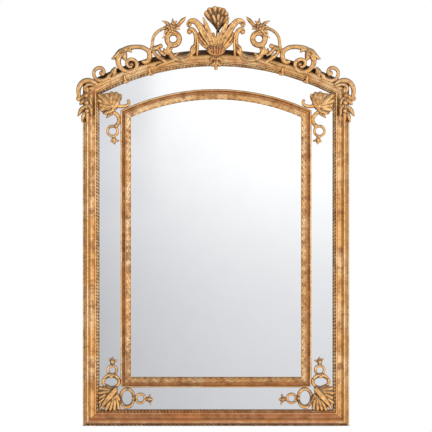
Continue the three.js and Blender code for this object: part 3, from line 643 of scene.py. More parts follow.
class Nodes:
    """Short ways to add shader nodes."""

    def __init__(self, tree):
        self.tree = tree

    def link(self, source, target):
        if isinstance(source, (int, float)):
            target.default_value = source
        elif isinstance(source, tuple):
            target.default_value = (*source, 1.0) if len(source) == 3 else source
        else:
            self.tree.links.new(source, target)

    def attribute(self, name):
        node = self.tree.nodes.new("ShaderNodeAttribute")
        node.attribute_name = name
        return node.outputs["Fac"]

    def position(self):
        return self.tree.nodes.new("ShaderNodeTexCoord").outputs["Object"]

    def stretched(self, scale):
        node = self.tree.nodes.new("ShaderNodeMapping")
        self.link(self.position(), node.inputs["Vector"])
        node.inputs["Scale"].default_value = scale
        return node.outputs["Vector"]

    def noise(self, scale, detail=3.0, roughness=0.55, vector=None, distortion=0.0):
        node = self.tree.nodes.new("ShaderNodeTexNoise")
        self.link(vector or self.position(), node.inputs["Vector"])
        node.inputs["Scale"].default_value = scale
        node.inputs["Detail"].default_value = detail
        node.inputs["Roughness"].default_value = roughness
        node.inputs["Distortion"].default_value = distortion
        return node.outputs["Fac"]

    def math(self, operation, a, b=0.0, clamp=False):
        node = self.tree.nodes.new("ShaderNodeMath")
        node.operation = operation
        node.use_clamp = clamp
        self.link(a, node.inputs[0])
        self.link(b, node.inputs[1])
        return node.outputs[0]

    def ramp(self, value, low, high, to_low=0.0, to_high=1.0):
        node = self.tree.nodes.new("ShaderNodeMapRange")
        node.interpolation_type = "SMOOTHSTEP"
        self.link(value, node.inputs["Value"])
        for name, number in (("From Min", low), ("From Max", high), ("To Min", to_low), ("To Max", to_high)):
            node.inputs[name].default_value = number
        return node.outputs["Result"]

    def clamped(self, value, low, high):
        node = self.tree.nodes.new("ShaderNodeClamp")
        self.link(value, node.inputs["Value"])
        node.inputs["Min"].default_value = low
        node.inputs["Max"].default_value = high
        return node.outputs["Result"]

    def mix(self, share, a, b):
        node = self.tree.nodes.new("ShaderNodeMix")
        node.data_type = "RGBA"
        self.link(share, node.inputs["Factor"])
        self.link(a, node.inputs[6])
        self.link(b, node.inputs[7])
        return node.outputs[2]

    def blend(self, share, a, b):
        node = self.tree.nodes.new("ShaderNodeMix")
        self.link(share, node.inputs["Factor"])
        self.link(a, node.inputs[2])
        self.link(b, node.inputs[3])
        return node.outputs[0]

    def bump(self, height, distance, strength=1.0, normal=None):
        node = self.tree.nodes.new("ShaderNodeBump")
        node.inputs["Distance"].default_value = distance
        node.inputs["Strength"].default_value = strength
        self.link(height, node.inputs["Height"])
        if normal is not None:
            self.link(normal, node.inputs["Normal"])
        return node.outputs["Normal"]


GOLD = (0.80, 0.455, 0.175)
CARVED_GOLD = (0.80, 0.438, 0.158)
PALE_GOLD = (0.93, 0.62, 0.32)
WORN_GOLD = (0.55, 0.275, 0.095)
BOLE = (0.45, 0.155, 0.048)
# Umber: the tone of the glaze over the gold, of the dirt and of the painted shade.
UMBER = (0.085, 0.036, 0.012)
# Dust colour, used also as painted shade on the tops of the carvings.
DUST_AND_TOP_SHADE = (0.24, 0.155, 0.095)
BARE_WOOD = (0.16, 0.085, 0.04)
CARVING_TONE = 0.07                  # shares of umber in the glaze over the gold
MOULDING_TONE = 0.19


def gilding(name, carved):
    material, tree, shader = new_material(name)
    n = Nodes(tree)
    dirt = n.attribute("dirt")
    bole = n.attribute("bole")
    lap = n.math("DIVIDE", n.attribute("lap"), 78.0)
    broad = n.noise(9.0, 2.0)
    patch = n.noise(64.0 if carved else 38.0, 4.0)
    fine = n.noise(260.0, 3.0, 0.6)
    gold = n.mix(n.ramp(broad, 0.40, 0.62, 0.0, 0.40 if carved else 1.0), CARVED_GOLD if carved else GOLD, PALE_GOLD)
    gold = n.mix(n.ramp(patch, 0.46, 0.66, 0.0, 0.85 if carved else 0.6), gold, WORN_GOLD)
    gold = n.mix(CARVING_TONE if carved else MOULDING_TONE, gold, UMBER)
    seam = n.math("FRACT", lap)
    double = n.ramp(n.math("ABSOLUTE", n.math("SUBTRACT", seam, 0.5)), 0.455, 0.49, 0.0, 0.35)
    gold = n.mix(double, gold, PALE_GOLD)
    wear = n.math("ADD", bole, n.math("MULTIPLY", n.math("SUBTRACT", patch, 0.5), 1.6))
    wear = n.math("ADD", wear, n.math("MULTIPLY", n.math("SUBTRACT", fine, 0.5), 0.5))
    red = n.ramp(wear, 0.35, 1.0, 0.0, 0.8)
    colour = n.mix(red, gold, BOLE)
    # Dirt and painted shade: where they are high, the gold goes to umber.
    soil_and_shade = n.math("ADD", dirt, n.math("MULTIPLY", n.math("SUBTRACT", fine, 0.5), 0.9 if carved else 0.35))
    soil_and_shade = n.math("ADD", soil_and_shade, n.math("MULTIPLY", n.math("SUBTRACT", broad, 0.5), 0.3))
    soil_and_shade = n.math("ADD", soil_and_shade, n.math("MULTIPLY", n.math("SUBTRACT", patch, 0.5), 1.1 if carved else 0.6))
    dark = n.ramp(soil_and_shade, 0.30, 0.95, 0.0, 0.92)
    colour = n.mix(dark, colour, UMBER)
    cover = n.math("MAXIMUM", n.math("MULTIPLY", red, 0.8), dark)
    if carved:
        # Dust and painted top shade on up-facing carving.
        dust = n.math("MULTIPLY", n.attribute("dust"), n.ramp(patch, 0.30, 0.55, 0.45, 0.95))
        colour = n.mix(dust, colour, DUST_AND_TOP_SHADE)
        behind = n.attribute("behind")
        colour = n.mix(behind, colour, BARE_WOOD)
        cover = n.math("MAXIMUM", cover, n.math("MAXIMUM", dust, behind))
    n.link(colour, shader.inputs["Base Color"])
    n.link(n.blend(cover, 0.85, 0.1), shader.inputs["Metallic"])
    rough = n.math("ADD", n.blend(cover, 0.26, 0.60), n.math("MULTIPLY", n.math("SUBTRACT", fine, 0.5), 0.18))
    n.link(rough, shader.inputs["Roughness"])
    normal = n.bump(n.noise(90.0, 4.0), 0.0012, 0.35)
    normal = n.bump(fine, 0.0005, 0.30, normal)
    n.link(normal, shader.inputs["Normal"])
    return material


def wood(name, dark, light, grain):
    """Softwood with its grain along one axis."""
    material, tree, shader = new_material(name)
    n = Nodes(tree)
    stretch = [60.0, 60.0, 60.0]
    stretch["XYZ".index(grain)] = 2.5
    vector = n.stretched(tuple(stretch))
    streaks = n.noise(1.0, 5.0, 0.6, vector, 0.6)
    broad = n.noise(5.0, 2.0)
    share = n.math("ADD", n.math("MULTIPLY", streaks, 0.8), n.math("MULTIPLY", broad, 0.3))
    n.link(n.mix(n.ramp(share, 0.38, 0.75), dark, light), shader.inputs["Base Color"])
    n.link(n.ramp(streaks, 0.3, 0.8, 0.9, 0.65), shader.inputs["Roughness"])
    n.link(n.bump(streaks, 0.0008, 0.6), shader.inputs["Normal"])
    return material


MIRROR_GAIN = 1.065                  # makes up for what the plates swallow


def mirror_glass():
    material, tree, shader = new_material("mirror_plate")
    n = Nodes(tree)
    shader.inputs["Metallic"].default_value = 1.0
    cloud = n.noise(14.0, 3.0)
    n.link(n.mix(n.ramp(cloud, 0.3, 0.8), (0.95, 0.955, 0.965), (0.93, 0.937, 0.95)), shader.inputs["Base Color"])
    n.link(n.ramp(n.noise(60.0, 3.0), 0.5, 0.9, 0.008, 0.03), shader.inputs["Roughness"])
    return material


def old_metal(name, colour, dull, metallic):
    material, tree, shader = new_material(name)
    n = Nodes(tree)
    spots = n.noise(420.0, 4.0)
    n.link(n.mix(n.ramp(spots, 0.42, 0.66), colour, dull), shader.inputs["Base Color"])
    n.link(n.ramp(spots, 0.3, 0.7, 0.32, 0.6), shader.inputs["Roughness"])
    shader.inputs["Metallic"].default_value = metallic
    n.link(n.bump(spots, 0.0002, 0.4), shader.inputs["Normal"])
    return material


gilding_run = gilding("gilt_moulding", carved=False)
gilding_carved = gilding("gilt_carving", carved=True)
ledge_wood = wood("back_frame_wood", (0.10, 0.050, 0.027), (0.23, 0.125, 0.070), "Z")
rail_wood = wood("back_rail_wood", (0.10, 0.050, 0.027), (0.23, 0.125, 0.070), "X")
board_woods = [wood(f"backboard_wood_{i + 1}", (0.24 * tone, 0.145 * tone, 0.075 * tone),
                    (0.42 * tone, 0.27 * tone, 0.15 * tone), "X") for i, tone in enumerate((1.0, 0.82, 0.92))]
plate_glass = mirror_glass()
dull_brass = old_metal("dull_brass", (0.42, 0.30, 0.13), (0.17, 0.12, 0.06), 0.9)
dull_steel = old_metal("dull_steel", (0.30, 0.29, 0.27), (0.12, 0.10, 0.09), 0.9)


def finish_node(node, material):
    mesh = frame["nodes"][node].data
    mesh.materials.clear()
    mesh.materials.append(material)


# ---- Mouldings ----
ARCH_SWEEP_STEPS = 97


def mouldings():
    for side in SIDES:
        arched = side == "top"
        count = ARCH_SWEEP_STEPS if arched else 25
        form = Form()
        sweep_profile(form, OUTER, side, outer_arch_profile() if arched else outer_side_profile(), count)
        if not arched:
            ornament_row(form, OUTER, side, [0.5, 33.2], [7.9, 34.2], 16.6, rope(0.42, 0.5, 3.4))
        ornament_row(form, OUTER, side, [55.2 if arched else 54.2, 40.2], [64.6, 33.6], 12.9, gadroons, across=9)
        place(f"outer_moulding_{side}_gilt", form.mesh(f"outer_moulding_{side}"), gilding_run,
              replaced=[f"outer_moulding_{side}"])

        form = Form()
        sweep_profile(form, INNER, side, inner_profile(), count)
        ornament_row(form, INNER, side, [21.9, 41.2], [39.8, 34.2], 23.9, guilloche, across=15, per_motif=14)
        place(f"inner_moulding_{side}_gilt", form.mesh(f"inner_moulding_{side}"), gilding_run,
              replaced=[f"inner_moulding_{side}"])

    form = Form()
    sweep_profile(form, OUTER, "top", back_profile(), ARCH_SWEEP_STEPS)
    place("back_rail_arched", form.mesh("back_rail_top"), rail_wood, replaced=["back_rail_top"])


# ---- Crest: strokes are [x from the middle, z above the top of the arch] ----
BEHIND = FRONT_OF_BACK
CREST_DEPTH = 62.0
PALMETTE_BACK = BEHIND + 8
SHELL_BACK = BEHIND + 34
FLOWER_BACK = CREST_DEPTH - 8


def palmette():
    form = Form()
    for side in (1, -1):
        def blade(points, widths, fronts):
            stroke(form, crest([[side * x, z] for x, z in points]), widths, fronts, PALMETTE_BACK, "flute")
        blade([[12, 5], [32, 38], [51, 68], [66, 92], [79, 107], [94, 111], [105, 105], [108, 95], [101, 89]],
              [18, 24, 26, 26, 25, 24, 22, 18, 12], [54, 59, 65, 71, 75, 76, 72, 66, 60])
        blade([[8, 8], [22, 48], [34, 82], [43, 106], [51, 126]], [18, 21, 21, 16, 5], [58, 63, 68, 69, 62])
        blade([[10, 8], [28, 46], [45, 78], [61, 103]], [18, 22, 18, 6], [56, 62, 65, 62])
        blade([[4, 10], [7, 40], [10, 66]], [13, 16, 8], [59, 63, 61])
        blade([[7, 8], [18, 44], [26, 72]], [15, 19, 8], [58, 62, 62])
        blade([[14, 4], [37, 28], [56, 46], [69, 67]], [22, 28, 22, 5], [54, 58, 61, 56])
        blade([[18, -2], [37, 12], [54, 25], [66, 44]], [17, 21, 18, 8], [52, 56, 56, 54])
        knob(form, crest([[side * 102, 96]])[0], 7.5, BEHIND + 16, 72)
    stroke(form, crest([[0, -16], [0, -4], [0, 16]]), [26, 34, 34], [38, 56, 56], BEHIND, "strap")
    return form


def crown_leaf():
    form = Form()
    stroke(form, crest([[5, 36], [7, 56], [8, 86]]), [14, 14, 12], [PALMETTE_BACK - 1] * 3, BEHIND, "strap")
    foot = np.array([8.0, 75.0])
    for x, z, width in ((-43, 148, 19), (-29, 162, 24), (-6, 168, 27), (14, 165, 22), (31, 161, 22), (44, 146, 19),
                        (43, 128, 15)):
        tip = np.array([x, z], float)
        lower = foot + (tip - foot) * [0.30, 0.40]
        upper = foot + (tip - foot) * [0.76, 0.78]
        stroke(form, crest([foot, lower, upper, tip]), [10, 19, width + 6, width + 1], [44, 54, 66, 75], BEHIND + 6,
               "leaf")
    for x, z, width in ((-13, 134, 19), (9, 138, 20), (27, 128, 18), (8, 108, 18)):
        stroke(form, crest([[8, 82], [(8 + x) / 2, (84 + z) / 2], [x, z]]), [10, width, 15], [54, 66, 71],
               BEHIND + 10, "leaf")
    return form


def base_shell():
    form = Form()
    knob(form, crest([[0, -3]])[0], 20, SHELL_BACK, 62)
    rim = crest([[31 * math.cos(b), -3 + 18 * math.sin(b)] for b in np.radians(np.arange(0, 361, 20))])
    stroke(form, rim, [8], [66], SHELL_BACK, "stem", closed=True)
    for side in (1, -1):
        for lean, reach in ((5, 15), (15, 14), (25, 10)):
            rib = crest([[side * lean * 1.15, reach - 2], [side * lean, -3], [side * lean * 0.8, -5 - reach]])
            stroke(form, rib, [9, 10.5, 8], [69, 72, 66], SHELL_BACK, "stem")
    stroke(form, crest([[0, -16], [0, -24], [0, -31]]), [22, 18, 7], [60, 60, 55], BEHIND + 20, "leaf")
    return form


def bracket():
    form = Form()
    stroke(form, crest([[103, 61], [107, 71], [98, 79], [87, 73], [79, 58], [76, 38], [77, 20], [82, 4], [90, -8],
                        [99, -22]]),
           [12, 15, 17, 18, 20, 21, 22, 25, 27, 14], [58, 62, 64, 65, 65, 64, 64, 64, 63, 58], BEHIND)
    knob(form, crest([[104, 68]])[0], 9.5, BEHIND, 65)
    stroke(form, crest([[74, 44], [71, 20], [72, 0], [74, -27]]), [9, 10, 10, 7], [67, 67, 67, 62], BEHIND, "stem")
    stroke(form, crest([[80, 16], [90, 8], [101, -3]]), [13, 16, 7], [66, 68, 60], BEHIND, "leaf")
    return form


def arch_leaf():
    form = Form()
    stroke(form, crest([[92, -14], [108, -30], [126, -37], [146, -37], [163, -32], [176, -20], [184, -4], [189, 9]]),
           [18, 28, 31, 31, 29, 25, 18, 9], [60, 63, 65, 66, 66, 65, 63, 60], BEHIND, "leaf")
    stroke(form, crest([[148, -36], [176, -46], [204, -56], [234, -68]]), [15, 17, 14, 5], [62, 62, 60, 56], BEHIND,
           "leaf")
    stroke(form, crest([[164, -30], [155, -20], [145, -14]]), [12, 13, 4], [64, 65, 58], BEHIND, "leaf")
    stroke(form, crest([[184, -12], [177, 0], [168, 6]]), [10, 11, 4], [62, 63, 58], BEHIND, "leaf")
    return form


def flower_scroll():
    form = Form()
    stroke(form, crest([[252, -6], [249, 16], [247, 36], [241, 54], [229, 68], [213, 78], [196, 83], [180, 82]]),
           [13, 12, 11.5, 11, 11, 11, 11, 10], [62, 62, 62, 62, 62, 62, 62, 60], BEHIND)
    stroke(form, crest(spiral([167, 41], [24, 24], [90, 450], 25)), [21], [64], BEHIND, closed=True)
    stroke(form, crest([[174, 22], [185, 8], [190, -8], [186, -22]]), [14, 12, 13, 10], [62, 62, 62, 60], BEHIND)
    stroke(form, crest([[266, -9], [248, -1], [234, 5], [216, 12]]), [17, 19, 21, 17], [63, 65, 66, 63], BEHIND, "leaf")
    knob(form, crest([[216, 13]])[0], 9, BEHIND, 66)
    stroke(form, crest([[246, -4], [234, -21], [214, -37], [184, -56]]), [13, 16, 16, 6], [66, 67, 66, 58], BEHIND,
           "leaf")
    stroke(form, crest([[228, 4], [214, -13], [196, -27]]), [14, 17, 6], [64, 66, 58], BEHIND, "leaf")
    stroke(form, crest([[196, -16], [201, -4], [204, 6]]), [9, 11, 5], [60, 62, 57], BEHIND, "leaf")
    return form


def flower():
    form = Form()
    heart = np.array([172.0, 80.0])
    for x, z, width, bend, lift in ((211, 111, 15, 5, 2), (191, 109, 14, -3, 4), (170, 122, 14, 3, 3),
                                    (150, 111, 13, -4, 3), (138, 92, 14, 4, 2), (204, 57, 16, 5, 3),
                                    (211, 42, 10, -3, 0), (194, 66, 14, -4, 5), (205, 88, 13, 4, 5),
                                    (158, 98, 14, 3, 6), (139, 76, 12, -4, 2), (150, 60, 12, 4, 3),
                                    (182, 102, 13, 2, 7)):
        tip = np.array([x, z], float)
        reach = tip - heart
        across = np.array([-reach[1], reach[0]]) / np.linalg.norm(reach)
        middle = heart + reach * 0.55 + across * bend
        front = FLOWER_BACK + 14 + lift
        stroke(form, crest([heart, middle, tip]), [10, width, 3], [front, front + 2, front - 4], FLOWER_BACK, "leaf")
    stroke(form, crest([[160, 88], [144, 98], [132, 111], [117, 127]]), [9, 14, 17, 3], [68, 70, 70, 64],
           FLOWER_BACK, "leaf")
    for angle in range(15, 375, 60):
        turn = math.radians(angle)
        knob(form, crest([heart + 11 * np.array([math.cos(turn), math.sin(turn)])])[0], 5.5, FLOWER_BACK,
             FLOWER_BACK + 22)
    knob(form, crest([heart])[0], 6, FLOWER_BACK, FLOWER_BACK + 24)
    return form


def arch_scroll():
    form = Form()
    stroke(form, crest([[292, -47], [279, -51], [266, -46], [259, -30], [260, -13], [270, -1], [287, 8], [308, 10],
                        [331, 8], [353, 0], [369, -14], [378, -30], [382, -46], [378, -63], [365, -78], [346, -87],
                        [325, -86], [311, -73], [308, -56], [318, -43], [334, -39], [346, -47], [347, -60],
                        [338, -69], [326, -66]]),
           [8, 15, 20, 20, 18, 17, 17, 17, 18, 21, 24, 24, 22, 20, 18, 17, 16, 15, 15, 15, 15, 14, 13, 12, 9],
           [56, 60, 62, 63, 63, 63, 63, 63, 63, 63, 64, 65, 65, 64, 62, 61, 60, 60, 61, 62, 62, 60, 58, 56, 54],
           BEHIND)
    for points, widths, fronts in (
            ([[350, 3], [373, -13], [393, -30], [409, -38]], [16, 29, 21, 4], [64, 68, 65, 56]),
            ([[363, -2], [360, -16], [357, -30], [350, -45]], [20, 27, 22, 6], [65, 69, 67, 58]),
            ([[348, 2], [337, -3], [327, -11]], [12, 14, 6], [64, 65, 60]),
            ([[386, -28], [382, -42], [379, -60]], [14, 19, 8], [66, 67, 62])):
        stroke(form, crest(points), widths, fronts, BEHIND, "leaf")
    knob(form, crest([[329, -61]])[0], 14, BEHIND, 46)
    knob(form, crest([[283, -48]])[0], 8, BEHIND, 62)
    return form


def small_volute():
    form = Form()
    stroke(form, crest([[409, -99], [424, -113], [445, -121], [464, -118], [475, -105], [477, -89], [469, -77],
                        [454, -71], [442, -76], [437, -88], [441, -98], [448, -98]]),
           [9, 13, 14, 15, 15, 14, 13, 13, 14, 14, 13, 10], [58, 60, 60, 60, 60, 60, 60, 60, 60, 60, 58], BEHIND)
    knob(form, crest([[446, -93]])[0], 10, BEHIND, 60)
    stroke(form, crest([[401, -108], [399, -88], [390, -68]]), [17, 27, 10], [58, 64, 58], BEHIND, "leaf")
    stroke(form, crest([[424, -116], [416, -100], [406, -92]]), [12, 15, 6], [60, 64, 59], BEHIND, "leaf")
    stroke(form, crest([[410, -94], [415, -106], [413, -120]]), [9, 11, 6], [62, 64, 58], BEHIND, "leaf")
    return form


def ear_scroll():
    form = Form()
    stroke(form, crest([[460, -141], [476, -128], [495, -121], [514, -124], [529, -137], [536, -155], [536, -174],
                        [532, -190]]),
           [13, 17, 19, 20, 19, 18, 16, 14], [60, 64, 66, 67, 67, 66, 64, 62], BEHIND)
    stroke(form, crest([[463, -147], [480, -138], [498, -137], [510, -146], [515, -160]]), [11, 15, 15, 13, 8],
           [63, 67, 67, 66, 60], BEHIND, "leaf")
    stroke(form, crest([[500, -148], [509, -160], [502, -172], [492, -168]]), [9, 11, 9, 6], [60, 61, 60, 56], BEHIND)
    knob(form, crest([[535, -192]])[0], 11, BEHIND, 63)
    stroke(form, crest([[533, -184], [523, -191], [514, -187]]), [9, 9, 5], [60, 60, 56], BEHIND, "stem")
    return form


def side_drop():
    back = BEHIND + 10
    form = Form()
    for points, widths, fronts in (
            ([[503, -165], [504, -200], [503, -240], [500, -292]], [18, 24, 22, 7], [66, 70, 70, 62]),
            ([[508, -176], [518, -184], [527, -197]], [14, 17, 6], [68, 67, 58]),
            ([[508, -196], [520, -204], [533, -217]], [15, 18, 6], [69, 67, 58]),
            ([[508, -220], [524, -235], [540, -262]], [16, 19, 4], [69, 67, 56]),
            ([[506, -242], [516, -258], [523, -285]], [15, 17, 5], [69, 68, 58]),
            ([[503, -186], [491, -198], [485, -218]], [13, 17, 6], [69, 68, 61]),
            ([[502, -214], [490, -232], [484, -260]], [14, 19, 6], [69, 69, 61])):
        stroke(form, crest(points), widths, fronts, back, "leaf")
    for x, z, radius in ((506, -180, 9), (504, -208, 9.5), (502, -240, 8.5)):
        knob(form, crest([[x, z]])[0], radius, back, 74)
    return form


def clasp(angle):
    """A leaf wrapped over the arched moulding, with two small knobs near its lower end."""
    form = Form()

    def radial(points):
        turned = []
        for u, v in points:
            turn = angle + u / ARCH_RADIUS
            turned.append([(ARCH_RADIUS + v) * math.sin(turn), OUTER.centre + (ARCH_RADIUS + v) * math.cos(turn)])
        return turned

    stroke(form, radial([[-4, -ARCH_LEDGE - 18], [0, -44], [1, -MOULDING_WIDTH - 3]]), [7, 13, 12], [54, 56, 50],
           LIP, "leaf")
    knob(form, radial([[-6, -MOULDING_WIDTH + 2]])[0], 5, LIP, 51)
    knob(form, radial([[6, -MOULDING_WIDTH + 4]])[0], 4.5, LIP, 50)
    return form


def pendant():
    form = Form()
    stroke(form, crest([[0, -32], [0, -52], [0, -80]]), [26, 26, 6], [58, 60, 46], LIP, "leaf")
    for side in (1, -1):
        leaf = crest([[side * x, z] for x, z in ((2, -40), (13, -34), (26, -46))])
        stroke(form, leaf, [12, 16, 5], [60, 61, 54], LIP, "leaf")
        leaf = crest([[side * x, z] for x, z in ((2, -54), (10, -56), (17, -68))])
        stroke(form, leaf, [10, 12, 4], [56, 57, 48], LIP, "leaf")
    knob(form, crest([[0, -74]])[0], 7, LIP, 49)
    return form


def crest_pieces():
    carving("palmette", palmette())
    carving("crown_leaf", crown_leaf())
    carving("base_shell", base_shell())
    carving_pair("scroll_bracket", bracket())
    carving_pair("arch_leaf", arch_leaf())
    carving_pair("flower_scroll", flower_scroll())
    carving_pair("flower", flower())
    carving_pair("arch_scroll", arch_scroll())
    carving_pair("small_volute", small_volute())
    carving_pair("ear_scroll", ear_scroll())
    carving_pair("side_drop", side_drop())
    for i, angle in enumerate(clasp_places()):
        carving_pair(f"clasp_{i + 1}", clasp(angle))
    carving("pendant", pendant())


# ---- Corner cartouches ----
CARTOUCHE_DEPTH = 60.0
STRAP_DEPTH = 41.0


def cartouche_leaf(form, put, hub, tips):
    hub = np.array(hub, float)
    for x, z, width, front in tips:
        tip = np.array([x, z], float)
        middle = hub + (tip - hub) * 0.6
        near = hub + (tip - hub) * 0.88
        stroke(form, put([hub, middle, near, tip]), [width * 0.6, width, width * 1.15, width * 0.75],
               [front, front + 1, front - 3, front - 10], SEAT, "leaf")


def strap_ring(form, put, centre, reach, angles, width):
    """A round or oval strap ring, reach its half size along X and Z."""
    count = max(9, int(abs(angles[1] - angles[0]) / 14))
    turns = np.radians(np.linspace(*angles, count))
    points = [[centre[0] + reach[0] * math.cos(b), centre[1] + reach[1] * math.sin(b)] for b in turns]
    stroke(form, put(points), [width], [STRAP_DEPTH], SEAT, "strap", closed=abs(angles[1] - angles[0]) == 360)


def bud(form, put, stalk, tip, leaves):
    stalk, tip = np.array(stalk, float), np.array(tip, float)
    middle = stalk + (tip - stalk) * 0.5
    stroke(form, put([stalk, middle, tip]), [10, 21, 4], [40, 46, 36], SEAT, "leaf")
    for end in leaves:
        stroke(form, put([stalk, middle * 0.85 + stalk * 0.15, end]), [10, 13, 5], [38, 42, 35], SEAT, "leaf")


def bottom_cartouche():
    sight = HALF_WIDTH - MOULDING_WIDTH
    put = lambda points: [[sight - x, MOULDING_WIDTH + z] for x, z in points]
    form = Form()
    hub = [60, 72]
    cartouche_leaf(form, put, hub, [(-4, 84, 17, 54), (-6, 64, 16, 57), (-3, 44, 17, 59), (-4, 24, 16, 60),
                                    (4, 4, 17, 60), (23, -5, 16, 60), (41, -4, 17, 59), (58, -5, 16, 57),
                                    (76, -2, 17, 54), (20, 96, 15, 50), (84, 22, 15, 52)])
    stroke(form, put([[70, 86], [44, 56], [12, 16]]), [15, 21, 9], [64, 69, 62], SEAT, "flute")
    knob(form, put([hub])[0], 12, SEAT, 62)
    strap_ring(form, put, [46, 108], [31, 23], [0, 360], 13)
    stroke(form, put([[18, 122], [34, 133], [58, 133], [76, 120]]), [10, 13, 13, 10], [43, 45, 45, 43], SEAT, "strap")
    knob(form, put([[46, 129]])[0], 7, SEAT, 48)
    strap_ring(form, put, [50, 154], [17.5, 17.5], [0, 360], 10)
    bud(form, put, [50, 169], [51, 206], [[34, 198], [72, 192]])
    strap_ring(form, put, [108, 46], [26, 34], [0, 360], 13)
    stroke(form, put([[90, 14], [104, 9], [122, 14], [132, 26]]), [11, 14, 13, 9], [43, 45, 45, 43], SEAT, "strap")
    knob(form, put([[132, 44]])[0], 7, SEAT, 46)
    strap_ring(form, put, [160, 43], [17.5, 17.5], [0, 360], 10)
    bud(form, put, [175, 42], [212, 38], [[199, 61], [203, 17]])
    return form


def top_cartouche():
    sight = HALF_WIDTH - MOULDING_WIDTH
    corner = OUTER.shoulder(MOULDING_WIDTH)
    put = lambda points: [[sight - x, corner - z] for x, z in points]
    form = Form()
    hub = [57, 46]
    cartouche_leaf(form, put, hub, [(85, -3, 20, 54), (68, -12, 23, 59), (46, -13, 25, 61), (26, -6, 23, 58),
                                    (-6, -2, 25, 61), (-9, 20, 23, 58), (-3, 40, 25, 61), (1, 59, 22, 57),
                                    (12, 74, 19, 54)])
    stroke(form, put([[68, 56], [36, 28], [6, 2]]), [30, 80, 36], [50, 54, 50], SEAT, "strap")
    stroke(form, put([[60, 52], [44, 65], [16, 75]]), [14, 17, 6], [58, 60, 50], SEAT, "leaf")
    stroke(form, put([[60, 52], [71, 30], [75, 6]]), [13, 19, 9], [62, 64, 54], SEAT, "leaf")
    knob(form, put([hub])[0], 12, SEAT, 62)
    stroke(form, put([[57, 36], [80, 45], [104, 43], [117, 31], [113, 23]]), [16, 15, 13, 12, 8], [58, 54, 48, 44, 40],
           SEAT)
    knob(form, put([[113, 24]])[0], 6.5, SEAT, 44)
    stroke(form, put([[50, 66], [68, 78], [77, 98], [70, 116], [50, 126]]), [15, 16, 16, 15, 11], [48, 44, 42, 42, 40],
           SEAT)
    stroke(form, put([[50, 72], [37, 80], [24, 92]]), [14, 12, 4], [50, 46, 38], SEAT, "leaf")
    knob(form, put([[66, 121]])[0], 8, SEAT, 46)
    strap_ring(form, put, [51, 142], [19.5, 19.5], [0, 360], 10.5)
    knob(form, put([[43, 124]])[0], 6.5, SEAT, 45)
    bud(form, put, [54, 159], [59, 195], [[41, 185], [78, 181]])
    return form


# ---- Back: boards, hangers ----
def backs():
    for node in ("back_stile_left", "back_stile_right"):
        finish_node(node, ledge_wood)
    finish_node("back_rail_bottom", rail_wood)
    for i in (1, 2, 3):
        finish_node(f"backboard_{i}", board_woods[i - 1])
    for node in ("border_glass_left", "border_glass_right", "border_glass_bottom", "border_glass_top", "centre_glass"):
        finish_node(node, plate_glass)
    for side in ("left", "right"):
        finish_node(f"hanger_strap_{side}", dull_brass)
        finish_node(f"hanger_ring_{side}", dull_brass)
        for i in (1, 2):
            finish_node(f"hanger_screw_{side}_{i}", dull_steel)


# ---- Camera, light and room ----
PIXEL = 3.9                          # millimetres of the object per pixel of the photograph
IMAGE_SIZE = 432
FOOT_ROW = 426.3                     # the row of the underside
CAMERA_DISTANCE = 14000.0
FACE_DEPTH = 45.0
FLOOR_DROP = 900.0


def camera():
    data = bpy.data.cameras.new("camera")
    data.sensor_width = 36.0
    data.lens = data.sensor_width * (CAMERA_DISTANCE - FACE_DEPTH) / (PIXEL * IMAGE_SIZE)
    data.clip_end = 100.0
    item = bpy.data.objects.new("camera", data)
    bpy.context.scene.collection.objects.link(item)
    height = (FOOT_ROW - IMAGE_SIZE / 2) * PIXEL
    item.location = (0, -CAMERA_DISTANCE * MM, height * MM)
    item.rotation_euler = (math.pi / 2, 0, 0)
    bpy.context.scene.camera = item


# The room as the gilding and the plates reflect it. Shares of full white.
ROOM_BRIGHT = 0.76
ROOM_DIM = 0.10
SOFT_BOXES = ((0.60, -0.12, 1.3), (-0.58, 0.20, 1.1))      # X and Z of the way to each, and its strength


